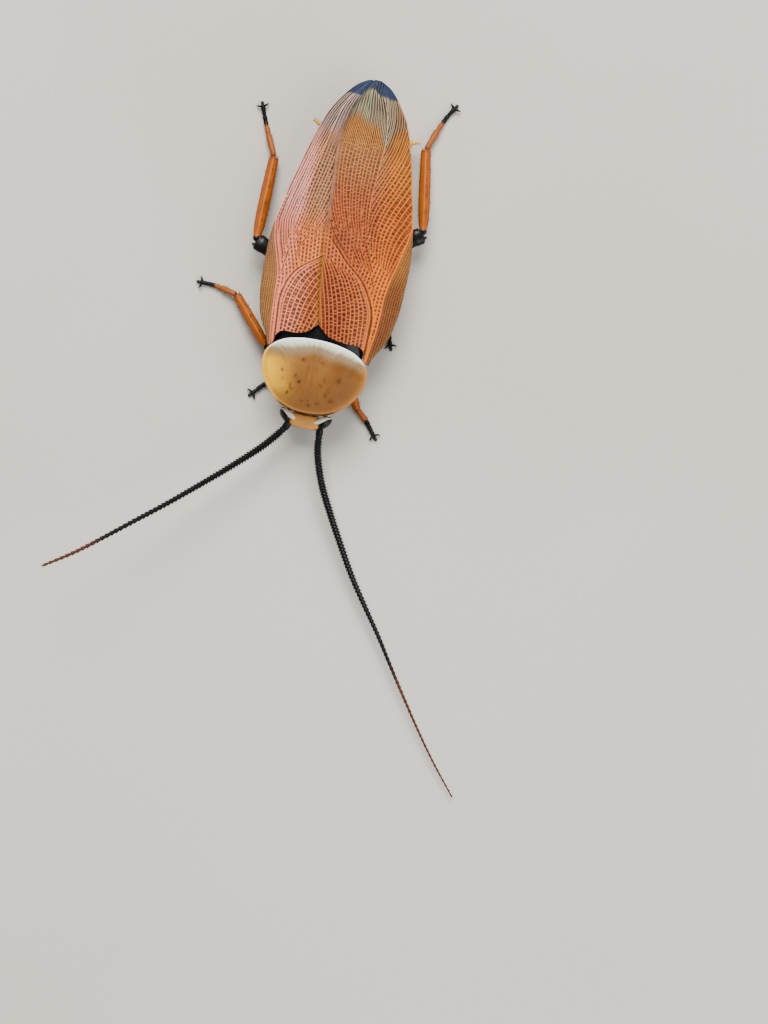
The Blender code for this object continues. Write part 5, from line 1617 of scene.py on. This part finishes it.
def make_cercus(name, side):
    """A tail feeler of eleven beads with long fine hairs."""
    path_points = [(side * x, y, z) for x, y, z in CERCUS]
    count = 11
    k = np.arange(count)
    sizes = 0.24 * np.sin(math.pi * (0.28 + 0.62 * k / (count - 1))) * (1.0 - 0.25 * k / count)
    colours = mixed(srgb(102, 66, 37), srgb(228, 170, 57), smooth_step(k / count * 1.6))
    shapes = segmented_limb(path_points, 1.0 - 0.3 * k / count, sizes, colours, 26, 0.78)
    path = Path(path_points)
    places = np.linspace(0.0, path.length, count)
    seed = 31 if side > 0 else 32
    shapes.append(hairs_on(path, places, sizes, 0.26, 110, srgb(119, 75, 32), seed, 0.7, 0.1, 0.007))
    make_piece(name + "_beads", joined(shapes), leg_look, (name,))


def make_hind_wing(name, side):
    """The hind wing, folded like a fan under the fore wing."""
    rows, columns = 181, 97
    y = np.linspace(-3.9, 9.0, rows)[:, None]
    share = np.linspace(0.0, 1.0, columns)[None, :]
    outer = np.maximum(wing_half_width(y) - 0.5, 0.25)
    inner = 0.05 + 0.0 * y
    u = inner + (outer - inner) * share
    pleat = np.sin(share * math.pi * 18.0)
    veins = np.maximum(pleat, 0.0) ** 4
    cross = np.cos((y * 3.1 + share * 6.0) * math.pi)
    veins = np.maximum(veins, 0.6 * np.maximum(cross, 0.0) ** 30)
    x = side * u
    z = wing_z(x, y) - 0.42 + 0.035 * pleat * np.minimum(share * 6.0, 1.0) * np.minimum(
        (1.0 - share) * 6.0, 1.0
    )
    top = np.stack([x + 0.0 * y, y + 0.0 * x, z], axis=-1)
    under = top[::4, ::4].copy()
    under[..., 2] -= 0.07
    points, faces = closed_sheet(top, under, 4)
    if side < 0:
        faces = [face[::-1] for face in faces]
    net = np.concatenate([veins.ravel(), veins[::4, ::4].ravel()])
    paint = mixed(srgb(80, 57, 40), srgb(59, 36, 24), net)
    make_piece(name + "_fan", Shape(points, faces, paint), smoky_look, (name,))


def make_body():
    make_pronotum()
    make_mesonotum()
    make_head()
    make_thorax()
    make_abdomen()
    for name, side in (("left", 1.0), ("right", -1.0)):
        make_eye("eye_" + name, side)
        make_palp("palp_" + name, side)
        make_hind_wing("hind_wing_" + name, side)
        make_cercus("cercus_" + name, side)
    for name in FEELERS:
        make_feeler(name)
    for name, leg in LEGS.items():
        make_coxa(name, leg)
        make_femur(name, leg)
        make_tibia(name, leg)
        make_foot(name, leg)


make_body()


# Floor, light and camera

def make_stage():
    look = Nodes("pale_floor", roughness=0.75, specular=0.2)
    tone = look.spread(look.noise(0.02, 3.0), 0.3, 0.7)
    look.colour(look.mix(tone, srgb(189, 182, 171), srgb(194, 189, 180)))
    size = 1.5
    mesh = bpy.data.meshes.new("floor")
    mesh.from_pydata(
        [(-size, -size, 0.0), (size, -size, 0.0), (size, size, 0.0), (-size, size, 0.0)], [],
        [(0, 1, 2, 3)]
    )
    mesh.materials.append(look.material)
    floor = bpy.data.objects.new("floor", mesh)
    bpy.context.scene.collection.objects.link(floor)
    world = bpy.data.worlds.new("studio")
    world.use_nodes = True
    world.node_tree.nodes["Background"].inputs["Color"].default_value = (0.95, 0.97, 1.0, 1.0)
    world.node_tree.nodes["Background"].inputs["Strength"].default_value = 0.45
    bpy.context.scene.world = world


def add_light(name, place, target, size, power, colour=(1.0, 1.0, 1.0)):
    """A square soft light. Places are in body millimetres."""
    light = bpy.data.lights.new(name, "AREA")
    light.shape = "SQUARE"
    light.size = size * MM
    light.energy = power
    light.color = colour
    lamp = bpy.data.objects.new(name, light)
    lamp.location = Vector(np.array(place) * MM + ORIGIN)
    aim = Vector(target) - Vector(place)
    lamp.rotation_euler = aim.to_track_quat("-Z", "Y").to_euler()
    bpy.context.scene.collection.objects.link(lamp)


CAMERA_PLACE = (5.54, -13.93, 99.4)
CAMERA_RIGHT = (0.978, 0.2076, 0.0)
CAMERA_UP = (-0.2076, 0.978, 0.0)
SENSOR_WIDTH = 36.0
FOCAL_LENGTH = 59.77


def make_camera():
    camera = bpy.data.cameras.new("camera")
    camera.sensor_width = SENSOR_WIDTH
    camera.lens = FOCAL_LENGTH
    camera.clip_start = 1.0 * MM
    camera.clip_end = 10.0
    holder = bpy.data.objects.new("camera", camera)
    back = np.cross(CAMERA_RIGHT, CAMERA_UP)
    turn = Matrix(np.stack([CAMERA_RIGHT, CAMERA_UP, back], axis=1).tolist()).to_4x4()
    holder.matrix_world = Matrix.Translation(Vector(np.array(CAMERA_PLACE) * MM + ORIGIN)) @ turn
    bpy.context.scene.collection.objects.link(holder)
    bpy.context.scene.camera = holder


make_stage()
add_light("key", (-60.0, 260.0, 330.0), (0.0, 0.0, 0.0), 260.0, 4.05, (1.0, 0.98, 0.95))
add_light("fill", (260.0, -120.0, 240.0), (0.0, -4.0, 0.0), 300.0, 1.27, (0.95, 0.98, 1.0))
make_camera()
